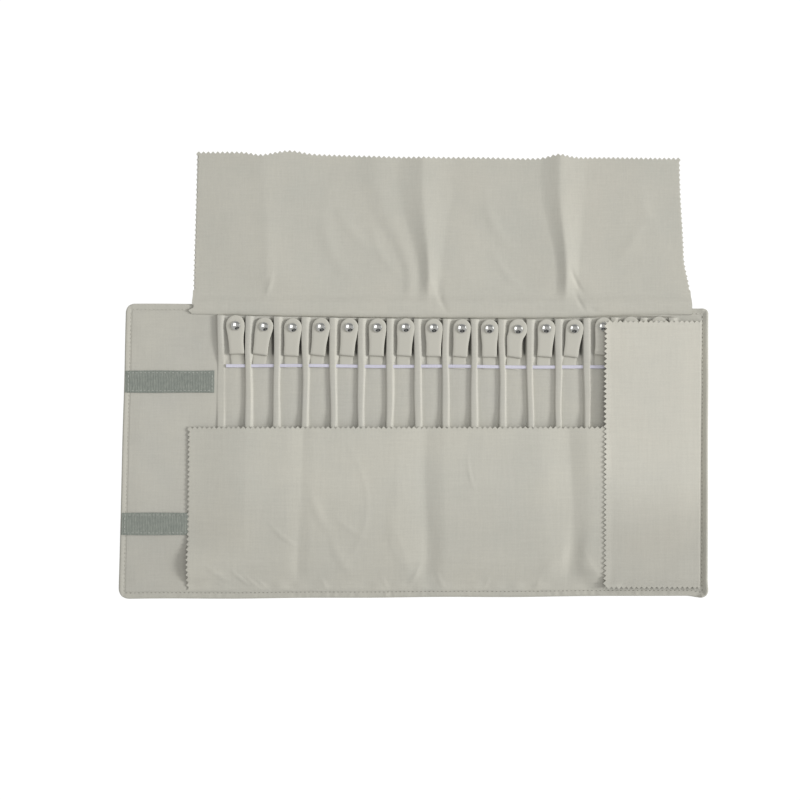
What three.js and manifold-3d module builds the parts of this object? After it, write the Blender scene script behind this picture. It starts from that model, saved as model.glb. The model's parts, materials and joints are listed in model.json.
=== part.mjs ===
// Jewelry roll, laid open: a thin padded body with sixteen necklace lanes, a snap strap at the head
// of each lane, three pinked cloth flaps, a tab with closing tapes, and three fold lines.
// Millimetres, +Z up, +Y towards the top flap. The origin is the centre of the body's underside.

import * as THREE from 'three';
import { mergeVertices } from 'three/addons/utils/BufferGeometryUtils.js';
import Module from 'manifold-3d';

const wasm = await Module();
wasm.setup();

// Body: lanes between a plain tab on the left and a margin on the right
const LANE_COUNT = 16;
const LANE_PITCH = 28;
const TAB_WIDTH = 96;
const RIGHT_MARGIN = 36;
const BODY_HEIGHT = 290;
const CORNER_RADIUS = 9;
const EDGE_ROUND = 1.2;
const HEM_WIDTH = 8;

// Layers of the body, from the table up
const COVER_THICKNESS = 1;
const PAD_SPACE = 2;
const LINING_THICKNESS = 0.8;
const SEAM_GAP = 0.2;
const PAD_CLEARANCE = 0.1;

// Running gap between pieces that move past each other, and how deep a sewn piece sinks in the lining
const CLEARANCE = 0.3;
const SEWN_DEPTH = 0.2;

// Dividers: upright folded ribs between the lanes
const DIVIDER_WIDTH = 6.5;
const DIVIDER_HEIGHT = 4.6;
const DIVIDER_SHOULDER = 1.6;
const DIVIDER_CROWN = 1.8;
const LANE_TOP_INSET = 12;
const LANE_BOTTOM_INSET = 21;

// Fold lines, each just right of the divider after a lane
const FOLD_AFTER_LANE = [2, 7, 12];
const FOLD_FROM_DIVIDER = 0.75;
const FOLD_GAP = 0.3;

// Snap straps: a leaf folded at its lower end, with a rounded upper end
const STRAP_LENGTH = 37.5;
const STRAP_END_WIDTH = 18.8;
const STRAP_FOLD_WIDTH = 15.6;
const STRAP_THICKNESS = 1.2;
const STRAP_TOP_INSET = 12.5;
const BACK_LEAF_THICKNESS = 0.8;
const KNUCKLE_RADIUS = 1.8;
const FIRST_COVERED_STRAP = 14;

// Snap fasteners: a domed cap and socket on the leaf, a stud on the lining
const CAP_DIAMETER = 9.4;
const CAP_HEIGHT = 2.6;
const CAP_RIM_HEIGHT = 0.65;
const CAP_FROM_STRAP_END = 11;
const SHANK_RADIUS = 1.5;
const SOCKET_RADIUS = 3.6;
const SOCKET_DEPTH = 1;
const RECESS_RADIUS = 1.7;
const RECESS_DEPTH = 0.7;
const STUD_RADIUS = 1.3;
const STUD_FLANGE_RADIUS = 3.4;
const STUD_FLANGE_THICKNESS = 0.4;

// Elastic that holds the chains down, below the straps
const ELASTIC_WIDTH = 4;
const ELASTIC_THICKNESS = 1;
const ELASTIC_BELOW_FOLD = 11;

// Closing tapes: loop tapes on the tab, hook tapes let into the outside of the third panel
const TAPE_WIDTH = 22;
const TAPE_THICKNESS = 1;
const TAPE_SPACING = 141;
const TAPE_PAIR_OFFSET = -2;
const TAPE_EDGE_INSET = 1.5;
const TAPE_TO_DIVIDER = 3;
const HOOK_TAPE_LENGTH = 84;
const HOOK_TAPE_FROM_FOLD = 6;
const HOOK_TAPE_THICKNESS = 0.5;
const HOOK_TAPE_GLUE = 0.1;

// Pinked cloth flaps
const FLAP_THICKNESS = 0.6;
const PINK_PITCH = 5;
const PINK_DEPTH = 2.4;
const TOP_FLAP_REACH = 157;
const TOP_FLAP_FROM_TAB = -28;
const TOP_FLAP_FROM_LANES = 20;
const TOP_FLAP_TAPER_LEFT = 5;
const TOP_FLAP_TAPER_RIGHT = 10;
const TOP_HINGE_INSET = 5;
const TOP_FLAP_RAMP = 4.5;
const BOTTOM_FLAP_REACH = 165;
const BOTTOM_FLAP_FROM_TAB = -34;
const BOTTOM_HINGE_INSET = 4;
const BOTTOM_FLAP_RAMP = 10;
const RIGHT_FLAP_REACH = 96;
const RIGHT_HINGE_INSET = 6;
const RIGHT_FLAP_TOP_INSET = 16;
const RIGHT_FLAP_BOTTOM_INSET = 9;
const RIGHT_FLAP_RAMP = 9;
const SEWN_RUN = 4;

// Fineness of round stretches
const CORNER_STEPS = 6;
const STRAP_END_STEPS = 8;
const SNAP_SIDES = 10;
const DOME_STEPS = 3;
const STUD_SIDES = 8;
const KNUCKLE_SIDES = 12;
const EDGE_STEPS = 2;
const MERGE_DISTANCE = 1e-4;

// Places worked out from the driving dimensions
const bodyWidth = TAB_WIDTH + LANE_COUNT * LANE_PITCH + RIGHT_MARGIN;
const leftEdge = -bodyWidth / 2;
const rightEdge = bodyWidth / 2;
const beyond = bodyWidth; // far enough outside the roll for slabs that only cut
const topEdge = BODY_HEIGHT / 2;
const bottomEdge = -BODY_HEIGHT / 2;
const padTop = COVER_THICKNESS + PAD_SPACE;
const floorZ = padTop + LINING_THICKNESS;
const seamZ = floorZ / 2;
const dividerX = (index) => leftEdge + TAB_WIDTH + index * LANE_PITCH;
const laneX = (lane) => dividerX(lane - 0.5);
const laneTop = topEdge - LANE_TOP_INSET;
const laneBottom = bottomEdge + LANE_BOTTOM_INSET;
const dividerTop = floorZ + DIVIDER_HEIGHT;

const strapEndY = topEdge - STRAP_TOP_INSET;
const strapHingeY = strapEndY - STRAP_LENGTH;
const strapHingeZ = floorZ + CLEARANCE + KNUCKLE_RADIUS;
const strapTop = strapHingeZ + KNUCKLE_RADIUS;
const strapBottom = strapTop - STRAP_THICKNESS;
const capY = strapEndY - CAP_FROM_STRAP_END;
const capTop = strapTop + CAP_HEIGHT;
const elasticY = strapHingeY - ELASTIC_BELOW_FOLD;

// Levels of the flaps, each resting just clear of what lies under it
const sewnZ = floorZ + CLEARANCE;
const tableZ = CLEARANCE;
const bottomFlapZ = dividerTop + CLEARANCE;
const rightFlapZ = Math.max(capTop, bottomFlapZ + FLAP_THICKNESS) + CLEARANCE;

const foldLines = FOLD_AFTER_LANE.map(
  (lane) => dividerX(lane) + DIVIDER_WIDTH / 2 + FOLD_FROM_DIVIDER,
);
const panelNames = ['a', 'b', 'c', 'd'];
const panelLeft = [leftEdge - beyond, ...foldLines.map((x) => x + FOLD_GAP / 2)];
const panelRight = [...foldLines.map((x) => x - FOLD_GAP / 2), rightEdge + beyond];

// Materials
const paint = (color, roughness, metalness = 0) =>
  new THREE.MeshStandardMaterial({ color, roughness, metalness });
const coverCloth = paint(0xb4b1a6, 0.8);
const liningCloth = paint(0xb9b6ab, 0.8);
const flapCloth = paint(0xbcb9ae, 0.8);
const strapHide = paint(0xc2beb2, 0.6);
const padFoam = paint(0xdedbd0, 0.9);
const elasticWeb = paint(0xd6d4e2, 0.7);
const loopTape = paint(0x858a82, 0.9);
const hookTape = paint(0x7d827a, 0.7);
const chrome = paint(0xd8d8d6, 0.12, 1);

// A geometry's shared vertices merged into one closed solid
function solid(geometry) {
  const bare = geometry.clone();
  bare.deleteAttribute('normal');
  bare.deleteAttribute('uv');
  const merged = mergeVertices(bare, MERGE_DISTANCE);
  const mesh = new wasm.Mesh({
    numProp: 3,
    vertProperties: Float32Array.from(merged.attributes.position.array),
    triVerts: Uint32Array.from(merged.index.array),
  });
  return new wasm.Manifold(mesh);
}

function geometryOf(body) {
  const mesh = body.getMesh();
  const geometry = new THREE.BufferGeometry();
  geometry.setAttribute('position', new THREE.BufferAttribute(mesh.vertProperties, 3));
  geometry.setIndex(new THREE.BufferAttribute(mesh.triVerts, 1));
  geometry.computeVertexNormals();
  return geometry;
}

function box(x0, x1, y0, y1, z0, z1) {
  const geometry = new THREE.BoxGeometry(x1 - x0, y1 - y0, z1 - z0);
  return solid(geometry.translate((x0 + x1) / 2, (y0 + y1) / 2, (z0 + z1) / 2));
}

// An outline in the XY plane, raised from z0 to z1
function plate(shape, z0, z1, curveSegments = CORNER_STEPS) {
  const options = { depth: z1 - z0, bevelEnabled: false, curveSegments };
  return solid(new THREE.ExtrudeGeometry(shape, options).translate(0, 0, z0));
}

// A profile drawn across the roll, run along X or Y
function runAlongX(profile, x0, x1) {
  const shape = new THREE.Shape(profile.map(([y, z]) => new THREE.Vector2(y, z)));
  const geometry = new THREE.ExtrudeGeometry(shape, { depth: x1 - x0, bevelEnabled: false });
  const [ex, ey, ez] = [new THREE.Vector3(1, 0, 0), new THREE.Vector3(0, 1, 0), new THREE.Vector3(0, 0, 1)];
  geometry.applyMatrix4(new THREE.Matrix4().makeBasis(ey, ez, ex));
  return solid(geometry.translate(x0, 0, 0));
}

function runAlongY(profile, y0, y1) {
  const shape = new THREE.Shape(profile.map(([x, z]) => new THREE.Vector2(x, z)));
  const geometry = new THREE.ExtrudeGeometry(shape, { depth: y1 - y0, bevelEnabled: false });
  return solid(geometry.rotateX(Math.PI / 2).translate(0, y1, 0));
}

function roundedRectangle(x0, x1, y0, y1, radius) {
  const quarter = Math.PI / 2;
  const shape = new THREE.Shape();
  shape.absarc(x1 - radius, y1 - radius, radius, 0, quarter);
  shape.absarc(x0 + radius, y1 - radius, radius, quarter, 2 * quarter);
  shape.absarc(x0 + radius, y0 + radius, radius, 2 * quarter, 3 * quarter);
  shape.absarc(x1 - radius, y0 + radius, radius, 3 * quarter, 4 * quarter);
  return shape;
}

// Zigzag from one corner to the next: tips on the line, notches cut in to its left
function pinkedEdge([x0, y0], [x1, y1]) {
  const length = Math.hypot(x1 - x0, y1 - y0);
  const teeth = Math.max(1, Math.round(length / PINK_PITCH));
  const inward = [-(y1 - y0) / length, (x1 - x0) / length];
  const points = [];
  for (let step = 0; step < 2 * teeth; step += 1) {
    const along = step / (2 * teeth);
    const depth = step % 2 ? PINK_DEPTH : 0;
    points.push(new THREE.Vector2(
      x0 + along * (x1 - x0) + depth * inward[0],
      y0 + along * (y1 - y0) + depth * inward[1],
    ));
  }
  return points;
}

// A flap's cut outline, counter-clockwise from the start of its seam; the seam itself is straight
function pinkedOutline(seamStart, seamEnd, farEnd, farStart) {
  return new THREE.Shape([
    new THREE.Vector2(...seamStart),
    ...pinkedEdge(seamEnd, farEnd),
    ...pinkedEdge(farEnd, farStart),
    ...pinkedEdge(farStart, seamStart),
  ]);
}

// A bent sheet's section: a line of underside points and the same line a thickness higher
function sheetProfile(underside) {
  const upper = underside.map(([u, z]) => [u, z + FLAP_THICKNESS]);
  return [...underside, ...upper.reverse()];
}

function slicePanel(body, index) {
  return body.intersect(
    box(panelLeft[index], panelRight[index], -beyond, beyond, -beyond, beyond),
  );
}

const roll = new THREE.Group();

function addPart(name, geometry, material, x = 0) {
  const mesh = new THREE.Mesh(geometry, material);
  mesh.name = name;
  mesh.position.x = x;
  roll.add(mesh);
}

const strapNumber = (lane) => String(lane).padStart(2, '0');

// Body: an outer cover and an inner lining that meet in a seam round the edge, with a pad between
const bodyOutline = roundedRectangle(leftEdge, rightEdge, bottomEdge, topEdge, CORNER_RADIUS);
const pillow = solid(
  new THREE.ExtrudeGeometry(bodyOutline, {
    depth: floorZ - 2 * EDGE_ROUND,
    bevelThickness: EDGE_ROUND,
    bevelSize: EDGE_ROUND,
    bevelOffset: -EDGE_ROUND,
    bevelSegments: EDGE_STEPS,
    curveSegments: CORNER_STEPS,
  }).translate(0, 0, EDGE_ROUND),
);

function padBlock(clearance) {
  const inset = HEM_WIDTH + clearance;
  const outline = roundedRectangle(
    leftEdge + inset, rightEdge - inset, bottomEdge + inset, topEdge - inset, CORNER_RADIUS / 2,
  );
  return plate(outline, COVER_THICKNESS + clearance, padTop - clearance);
}

function belowZ(z) {
  return box(-beyond, beyond, -beyond, beyond, -beyond, z);
}

const padPocket = padBlock(0);

// Loop and hook tapes lie at the same two heights, so that the tab closes on the hooks
const tapeYs = [TAPE_PAIR_OFFSET + TAPE_SPACING / 2, TAPE_PAIR_OFFSET - TAPE_SPACING / 2];
const tapeNames = ['upper', 'lower'];
const hookLeft = foldLines[1] + HOOK_TAPE_FROM_FOLD;

function hookTapeBlock(y, clearance, z0, z1) {
  return box(
    hookLeft - clearance, hookLeft + HOOK_TAPE_LENGTH + clearance,
    y - TAPE_WIDTH / 2 - clearance, y + TAPE_WIDTH / 2 + clearance, z0, z1,
  );
}

function buildCover() {
  let cover = pillow.intersect(belowZ(seamZ - SEAM_GAP / 2)).subtract(padPocket);
  for (const y of tapeYs) {
    cover = cover.subtract(hookTapeBlock(y, CLEARANCE, -CLEARANCE, HOOK_TAPE_THICKNESS + HOOK_TAPE_GLUE));
  }
  return cover;
}

function dividerProfile(x) {
  const half = DIVIDER_WIDTH / 2;
  const foot = floorZ - SEWN_DEPTH;
  const shoulder = half - DIVIDER_SHOULDER / 2;
  return [
    [x - half, foot],
    [x + half, foot],
    [x + half, dividerTop - DIVIDER_SHOULDER],
    [x + shoulder, dividerTop - DIVIDER_SHOULDER / 4],
    [x + DIVIDER_CROWN / 2, dividerTop],
    [x - DIVIDER_CROWN / 2, dividerTop],
    [x - shoulder, dividerTop - DIVIDER_SHOULDER / 4],
    [x - half, dividerTop - DIVIDER_SHOULDER],
  ];
}

// Strap outline about its lane's centre line, from a lower end up to the round upper end
function strapOutline(lowerY) {
  const endHalf = STRAP_END_WIDTH / 2;
  const shape = new THREE.Shape();
  shape.moveTo(-STRAP_FOLD_WIDTH / 2, lowerY);
  shape.lineTo(STRAP_FOLD_WIDTH / 2, lowerY);
  shape.lineTo(endHalf, strapEndY - endHalf);
  shape.absarc(0, strapEndY - endHalf, endHalf, 0, Math.PI);
  return shape;
}

function backLeaf() {
  const lowerY = strapHingeY + KNUCKLE_RADIUS + CLEARANCE;
  return plate(
    strapOutline(lowerY), floorZ - SEWN_DEPTH, floorZ + BACK_LEAF_THICKNESS, STRAP_END_STEPS,
  );
}

function stud() {
  const base = floorZ + BACK_LEAF_THICKNESS - SEWN_DEPTH;
  const flangeTop = floorZ + BACK_LEAF_THICKNESS + STUD_FLANGE_THICKNESS;
  const postTop = strapBottom - SOCKET_DEPTH + RECESS_DEPTH - SEWN_DEPTH;
  const profile = [
    [0, base],
    [STUD_FLANGE_RADIUS, base],
    [STUD_FLANGE_RADIUS, flangeTop],
    [STUD_RADIUS, flangeTop],
    [STUD_RADIUS, postTop],
    [0, postTop],
  ];
  return solid(turned(profile, STUD_SIDES).translate(0, capY, 0));
}

// A profile of radius and height turned about a vertical axis
function turned(profile, sides) {
  const points = profile.map(([radius, z]) => new THREE.Vector2(radius, z));
  return new THREE.LatheGeometry(points, sides).rotateX(Math.PI / 2);
}

function strapLeaf() {
  const shape = strapOutline(strapHingeY);
  const hole = new THREE.Path();
  hole.absarc(0, capY, SHANK_RADIUS + CLEARANCE, 0, 2 * Math.PI);
  shape.holes.push(hole);
  const knuckle = new THREE.CylinderGeometry(
    KNUCKLE_RADIUS, KNUCKLE_RADIUS, STRAP_FOLD_WIDTH, KNUCKLE_SIDES,
  );
  knuckle.rotateZ(Math.PI / 2).translate(0, strapHingeY, strapHingeZ);
  return plate(shape, strapBottom, strapTop, STRAP_END_STEPS).add(solid(knuckle));
}

// A strap that stays shut under the right flap is sewn down at its fold
function sewnStrap() {
  const half = STRAP_FOLD_WIDTH / 2;
  const fold = box(
    -half, half, strapHingeY - KNUCKLE_RADIUS / 2, strapHingeY + 2 * KNUCKLE_RADIUS,
    floorZ - SEWN_DEPTH, strapHingeZ,
  );
  return strapLeaf().add(fold);
}

// The dome over the rim is a quarter of an ellipse
function domePoints(rim) {
  const points = [];
  for (let step = 0; step <= DOME_STEPS; step += 1) {
    const angle = (step / DOME_STEPS) * (Math.PI / 2);
    const rise = (CAP_HEIGHT - CAP_RIM_HEIGHT) * Math.sin(angle);
    points.push([step < DOME_STEPS ? rim * Math.cos(angle) : 0, strapTop + CAP_RIM_HEIGHT + rise]);
  }
  return points;
}

function snapCap() {
  const rim = CAP_DIAMETER / 2;
  const profile = [
    [0, strapBottom - SOCKET_DEPTH + RECESS_DEPTH],
    [RECESS_RADIUS, strapBottom - SOCKET_DEPTH + RECESS_DEPTH],
    [RECESS_RADIUS, strapBottom - SOCKET_DEPTH],
    [SOCKET_RADIUS, strapBottom - SOCKET_DEPTH],
    [SOCKET_RADIUS, strapBottom],
    [SHANK_RADIUS, strapBottom],
    [SHANK_RADIUS, strapTop],
    [rim, strapTop],
    ...domePoints(rim),
  ];
  return solid(turned(profile, SNAP_SIDES).translate(0, capY, 0));
}

// The elastic runs through a tunnel in every divider and ends inside the first and the last
function elasticRun(clearance, z0, z1) {
  const reach = DIVIDER_WIDTH / 4 + clearance;
  const half = ELASTIC_WIDTH / 2 + clearance;
  return box(
    dividerX(0) - reach, dividerX(LANE_COUNT) + reach, elasticY - half, elasticY + half, z0, z1,
  );
}

const elasticZ = floorZ + CLEARANCE;
const elasticTop = elasticZ + ELASTIC_THICKNESS;

function buildLining() {
  const parts = [];
  for (let index = 0; index <= LANE_COUNT; index += 1) {
    parts.push(runAlongY(dividerProfile(dividerX(index)), laneBottom, laneTop));
  }
  const sewnBack = backLeaf().add(stud());
  for (let lane = 1; lane <= LANE_COUNT; lane += 1) {
    parts.push(sewnBack.translate([laneX(lane), 0, 0]));
  }
  const closedStrap = sewnStrap();
  for (let lane = FIRST_COVERED_STRAP; lane <= LANE_COUNT; lane += 1) {
    parts.push(closedStrap.translate([laneX(lane), 0, 0]));
  }
  const hingeY = topEdge - TOP_HINGE_INSET;
  parts.push(box(
    topFlapLeft, topFlapRight, laneTop, hingeY - CLEARANCE, floorZ - SEWN_DEPTH, sewnZ + FLAP_THICKNESS,
  ));
  let lining = pillow.subtract(belowZ(seamZ + SEAM_GAP / 2)).subtract(padPocket);
  for (const piece of parts) {
    lining = lining.add(piece);
  }
  return lining.subtract(elasticRun(CLEARANCE, floorZ, elasticTop + CLEARANCE));
}

// Top flap: sewn along the top hem, thrown back over the edge and lying on the table
const topFlapLeft = dividerX(0) + TOP_FLAP_FROM_TAB;
const topFlapRight = dividerX(LANE_COUNT) + TOP_FLAP_FROM_LANES;

function buildTopFlap() {
  const hingeY = topEdge - TOP_HINGE_INSET;
  const seamY = hingeY + CLEARANCE;
  const farY = hingeY + TOP_FLAP_REACH;
  const edgeY = topEdge + EDGE_ROUND;
  const section = sheetProfile([
    [seamY, sewnZ],
    [edgeY, sewnZ],
    [edgeY + TOP_FLAP_RAMP, tableZ],
    [farY, tableZ],
  ]);
  const outline = pinkedOutline(
    [topFlapLeft, seamY],
    [topFlapRight, seamY],
    [topFlapRight - TOP_FLAP_TAPER_RIGHT, farY],
    [topFlapLeft + TOP_FLAP_TAPER_LEFT, farY],
  );
  return runAlongX(section, topFlapLeft, topFlapRight).intersect(plate(outline, -beyond, beyond));
}

// Right flap: sewn along the right hem, folded in over the last straps
const rightHingeX = rightEdge - RIGHT_HINGE_INSET;
const rightFlapLeft = rightHingeX - RIGHT_FLAP_REACH;

function buildRightFlap() {
  const seamX = rightHingeX - CLEARANCE;
  const y0 = bottomEdge + RIGHT_FLAP_BOTTOM_INSET;
  const y1 = topEdge - RIGHT_FLAP_TOP_INSET;
  const section = sheetProfile([
    [rightFlapLeft, rightFlapZ],
    [seamX - SEWN_RUN - RIGHT_FLAP_RAMP, rightFlapZ],
    [seamX - SEWN_RUN, sewnZ],
    [seamX, sewnZ],
  ]);
  const outline = pinkedOutline([seamX, y0], [seamX, y1], [rightFlapLeft, y1], [rightFlapLeft, y0]);
  return runAlongY(section, y0, y1).intersect(plate(outline, -beyond, beyond));
}

// Bottom flap: sewn along the bottom hem, folded in over the lanes as far as the right flap
function buildBottomFlap() {
  const hingeY = bottomEdge + BOTTOM_HINGE_INSET;
  const seamY = hingeY + CLEARANCE;
  const farY = hingeY + BOTTOM_FLAP_REACH;
  const x0 = dividerX(0) + BOTTOM_FLAP_FROM_TAB;
  const x1 = rightFlapLeft - 2 * CLEARANCE;
  const section = sheetProfile([
    [seamY, sewnZ],
    [seamY + SEWN_RUN, sewnZ],
    [seamY + SEWN_RUN + BOTTOM_FLAP_RAMP, bottomFlapZ],
    [farY, bottomFlapZ],
  ]);
  const outline = pinkedOutline([x0, seamY], [x1, seamY], [x1, farY], [x0, farY]);
  return runAlongX(section, x0, x1).intersect(plate(outline, -beyond, beyond));
}

// Pieces that are one length of cloth, pad or elastic on the roll, cut at the fold lines
function addPanels(name, body, material) {
  panelNames.forEach((panel, index) => {
    addPart(`${name}_${panel}`, geometryOf(slicePanel(body, index)), material);
  });
}

addPanels('outer_cover', buildCover(), coverCloth);
addPanels('padding', padBlock(PAD_CLEARANCE), padFoam);
addPanels('lining', buildLining(), liningCloth);
addPanels('elastic', elasticRun(0, elasticZ, elasticTop), elasticWeb);
addPanels('top_flap', buildTopFlap(), flapCloth);
addPanels('bottom_flap', buildBottomFlap(), flapCloth);
addPart('right_flap', geometryOf(buildRightFlap()), flapCloth);

const leafGeometry = geometryOf(strapLeaf());
const capGeometry = geometryOf(snapCap());
for (let lane = 1; lane <= LANE_COUNT; lane += 1) {
  if (lane < FIRST_COVERED_STRAP) {
    addPart(`snap_strap_${strapNumber(lane)}`, leafGeometry, strapHide, laneX(lane));
  }
  addPart(`snap_cap_${strapNumber(lane)}`, capGeometry, chrome, laneX(lane));
}

tapeYs.forEach((y, index) => {
  const loopRight = dividerX(0) - DIVIDER_WIDTH / 2 - TAPE_TO_DIVIDER;
  const loop = box(
    leftEdge + TAPE_EDGE_INSET, loopRight,
    y - TAPE_WIDTH / 2, y + TAPE_WIDTH / 2, floorZ, floorZ + TAPE_THICKNESS,
  );
  addPart(`loop_tape_${tapeNames[index]}`, geometryOf(loop), loopTape);
  const hook = hookTapeBlock(y, 0, 0, HOOK_TAPE_THICKNESS);
  addPart(`hook_tape_${tapeNames[index]}`, geometryOf(hook), hookTape);
});

export default roll;
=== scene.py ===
"""Looks of the jewelry roll: its cloth, straps, snaps and tapes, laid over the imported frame."""

import json
from math import asin, cos, hypot, pi, radians, sin

import bmesh
import bpy
import numpy as np
from mathutils import Vector
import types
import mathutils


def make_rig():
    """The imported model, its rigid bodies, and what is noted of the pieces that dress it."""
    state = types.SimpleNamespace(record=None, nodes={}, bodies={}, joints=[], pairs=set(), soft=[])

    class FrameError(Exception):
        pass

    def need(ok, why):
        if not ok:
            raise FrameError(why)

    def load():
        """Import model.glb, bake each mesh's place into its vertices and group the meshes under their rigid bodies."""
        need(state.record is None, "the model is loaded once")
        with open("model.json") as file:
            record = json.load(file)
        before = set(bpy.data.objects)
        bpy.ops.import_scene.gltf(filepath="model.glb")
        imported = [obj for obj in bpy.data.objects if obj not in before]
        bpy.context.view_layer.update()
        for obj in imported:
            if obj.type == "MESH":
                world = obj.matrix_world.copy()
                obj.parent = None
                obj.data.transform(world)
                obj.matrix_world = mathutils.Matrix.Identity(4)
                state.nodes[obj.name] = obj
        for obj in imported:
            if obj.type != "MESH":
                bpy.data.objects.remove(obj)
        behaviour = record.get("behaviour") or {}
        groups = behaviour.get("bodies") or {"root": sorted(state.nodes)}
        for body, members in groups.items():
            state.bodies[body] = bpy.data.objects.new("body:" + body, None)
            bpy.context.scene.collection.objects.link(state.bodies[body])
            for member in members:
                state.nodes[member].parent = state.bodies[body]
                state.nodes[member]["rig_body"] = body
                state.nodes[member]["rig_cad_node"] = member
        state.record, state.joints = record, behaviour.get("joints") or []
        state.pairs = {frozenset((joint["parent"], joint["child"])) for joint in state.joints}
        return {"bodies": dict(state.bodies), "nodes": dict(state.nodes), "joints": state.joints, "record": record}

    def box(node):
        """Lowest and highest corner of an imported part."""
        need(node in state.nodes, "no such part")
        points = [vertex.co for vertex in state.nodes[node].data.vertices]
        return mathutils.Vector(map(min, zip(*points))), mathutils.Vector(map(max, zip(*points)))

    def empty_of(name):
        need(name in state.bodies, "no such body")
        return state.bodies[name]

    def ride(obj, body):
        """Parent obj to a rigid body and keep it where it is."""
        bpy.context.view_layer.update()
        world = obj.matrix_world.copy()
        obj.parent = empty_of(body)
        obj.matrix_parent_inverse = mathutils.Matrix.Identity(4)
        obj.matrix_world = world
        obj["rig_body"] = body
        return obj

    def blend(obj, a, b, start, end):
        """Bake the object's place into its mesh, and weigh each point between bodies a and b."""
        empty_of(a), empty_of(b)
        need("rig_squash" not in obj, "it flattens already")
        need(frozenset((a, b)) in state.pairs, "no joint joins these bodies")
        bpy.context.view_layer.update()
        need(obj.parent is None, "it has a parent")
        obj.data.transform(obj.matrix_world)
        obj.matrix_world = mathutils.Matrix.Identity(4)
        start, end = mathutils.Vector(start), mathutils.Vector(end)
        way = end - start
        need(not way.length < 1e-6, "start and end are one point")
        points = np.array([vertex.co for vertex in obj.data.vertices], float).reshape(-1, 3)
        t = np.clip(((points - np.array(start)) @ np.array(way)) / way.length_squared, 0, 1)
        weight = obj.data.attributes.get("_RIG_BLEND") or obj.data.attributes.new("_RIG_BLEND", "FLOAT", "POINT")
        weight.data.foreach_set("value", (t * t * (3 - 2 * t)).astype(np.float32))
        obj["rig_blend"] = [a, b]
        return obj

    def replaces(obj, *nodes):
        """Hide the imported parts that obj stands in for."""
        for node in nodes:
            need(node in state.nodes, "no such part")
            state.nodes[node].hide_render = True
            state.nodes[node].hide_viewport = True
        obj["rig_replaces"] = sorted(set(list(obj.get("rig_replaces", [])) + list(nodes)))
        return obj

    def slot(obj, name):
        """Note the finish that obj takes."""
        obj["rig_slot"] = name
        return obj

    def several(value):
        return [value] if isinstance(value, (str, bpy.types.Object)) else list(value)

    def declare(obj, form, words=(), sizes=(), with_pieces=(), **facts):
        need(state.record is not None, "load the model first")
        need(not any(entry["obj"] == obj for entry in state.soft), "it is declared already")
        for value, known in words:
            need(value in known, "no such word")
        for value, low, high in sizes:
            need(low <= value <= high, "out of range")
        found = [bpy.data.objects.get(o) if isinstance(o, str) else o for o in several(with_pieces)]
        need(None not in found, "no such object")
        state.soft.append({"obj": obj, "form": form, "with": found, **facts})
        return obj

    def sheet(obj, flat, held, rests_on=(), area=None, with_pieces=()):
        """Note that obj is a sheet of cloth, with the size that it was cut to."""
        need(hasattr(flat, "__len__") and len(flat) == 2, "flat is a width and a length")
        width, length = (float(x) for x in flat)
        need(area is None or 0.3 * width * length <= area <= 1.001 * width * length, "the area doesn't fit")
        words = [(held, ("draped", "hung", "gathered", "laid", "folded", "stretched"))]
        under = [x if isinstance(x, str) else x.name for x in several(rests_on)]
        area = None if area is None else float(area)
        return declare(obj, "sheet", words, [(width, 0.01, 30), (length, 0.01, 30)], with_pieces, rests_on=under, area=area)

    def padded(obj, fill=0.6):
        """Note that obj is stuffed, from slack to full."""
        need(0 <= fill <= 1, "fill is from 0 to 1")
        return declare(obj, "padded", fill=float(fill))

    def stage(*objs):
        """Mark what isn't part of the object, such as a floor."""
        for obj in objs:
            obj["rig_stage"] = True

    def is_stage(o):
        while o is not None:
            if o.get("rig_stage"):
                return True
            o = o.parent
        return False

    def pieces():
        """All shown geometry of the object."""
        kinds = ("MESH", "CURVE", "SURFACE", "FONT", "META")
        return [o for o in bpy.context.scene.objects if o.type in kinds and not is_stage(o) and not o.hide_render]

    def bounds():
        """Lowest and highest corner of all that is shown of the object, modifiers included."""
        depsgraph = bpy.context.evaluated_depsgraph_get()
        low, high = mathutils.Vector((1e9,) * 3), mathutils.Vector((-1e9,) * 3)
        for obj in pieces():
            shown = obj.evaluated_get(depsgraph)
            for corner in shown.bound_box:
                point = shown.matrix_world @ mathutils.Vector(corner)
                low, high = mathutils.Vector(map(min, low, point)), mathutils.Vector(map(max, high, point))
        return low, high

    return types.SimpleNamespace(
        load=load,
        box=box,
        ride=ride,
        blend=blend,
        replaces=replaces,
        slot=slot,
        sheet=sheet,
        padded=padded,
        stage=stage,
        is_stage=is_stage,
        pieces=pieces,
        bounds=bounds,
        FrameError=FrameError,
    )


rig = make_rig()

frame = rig.load()
cad_low, cad_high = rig.bounds()

MM = 0.001
PANELS = "abcd"
SPANS = ("ab", "bc", "cd")
LANES = range(1, 17)
MOVING = range(1, 14)


def lengths(name, letters=PANELS):
    """Names of one cloth's lengths, one for each panel."""
    return [f"{name}_{letter}" for letter in letters]


def node_box(*nodes):
    """Lowest and highest corner of some CAD nodes, in millimetres."""
    boxes = [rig.box(node) for node in nodes]
    low = np.min([box[0] for box in boxes], axis=0) / MM
    high = np.max([box[1] for box in boxes], axis=0) / MM
    return low, high


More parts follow.
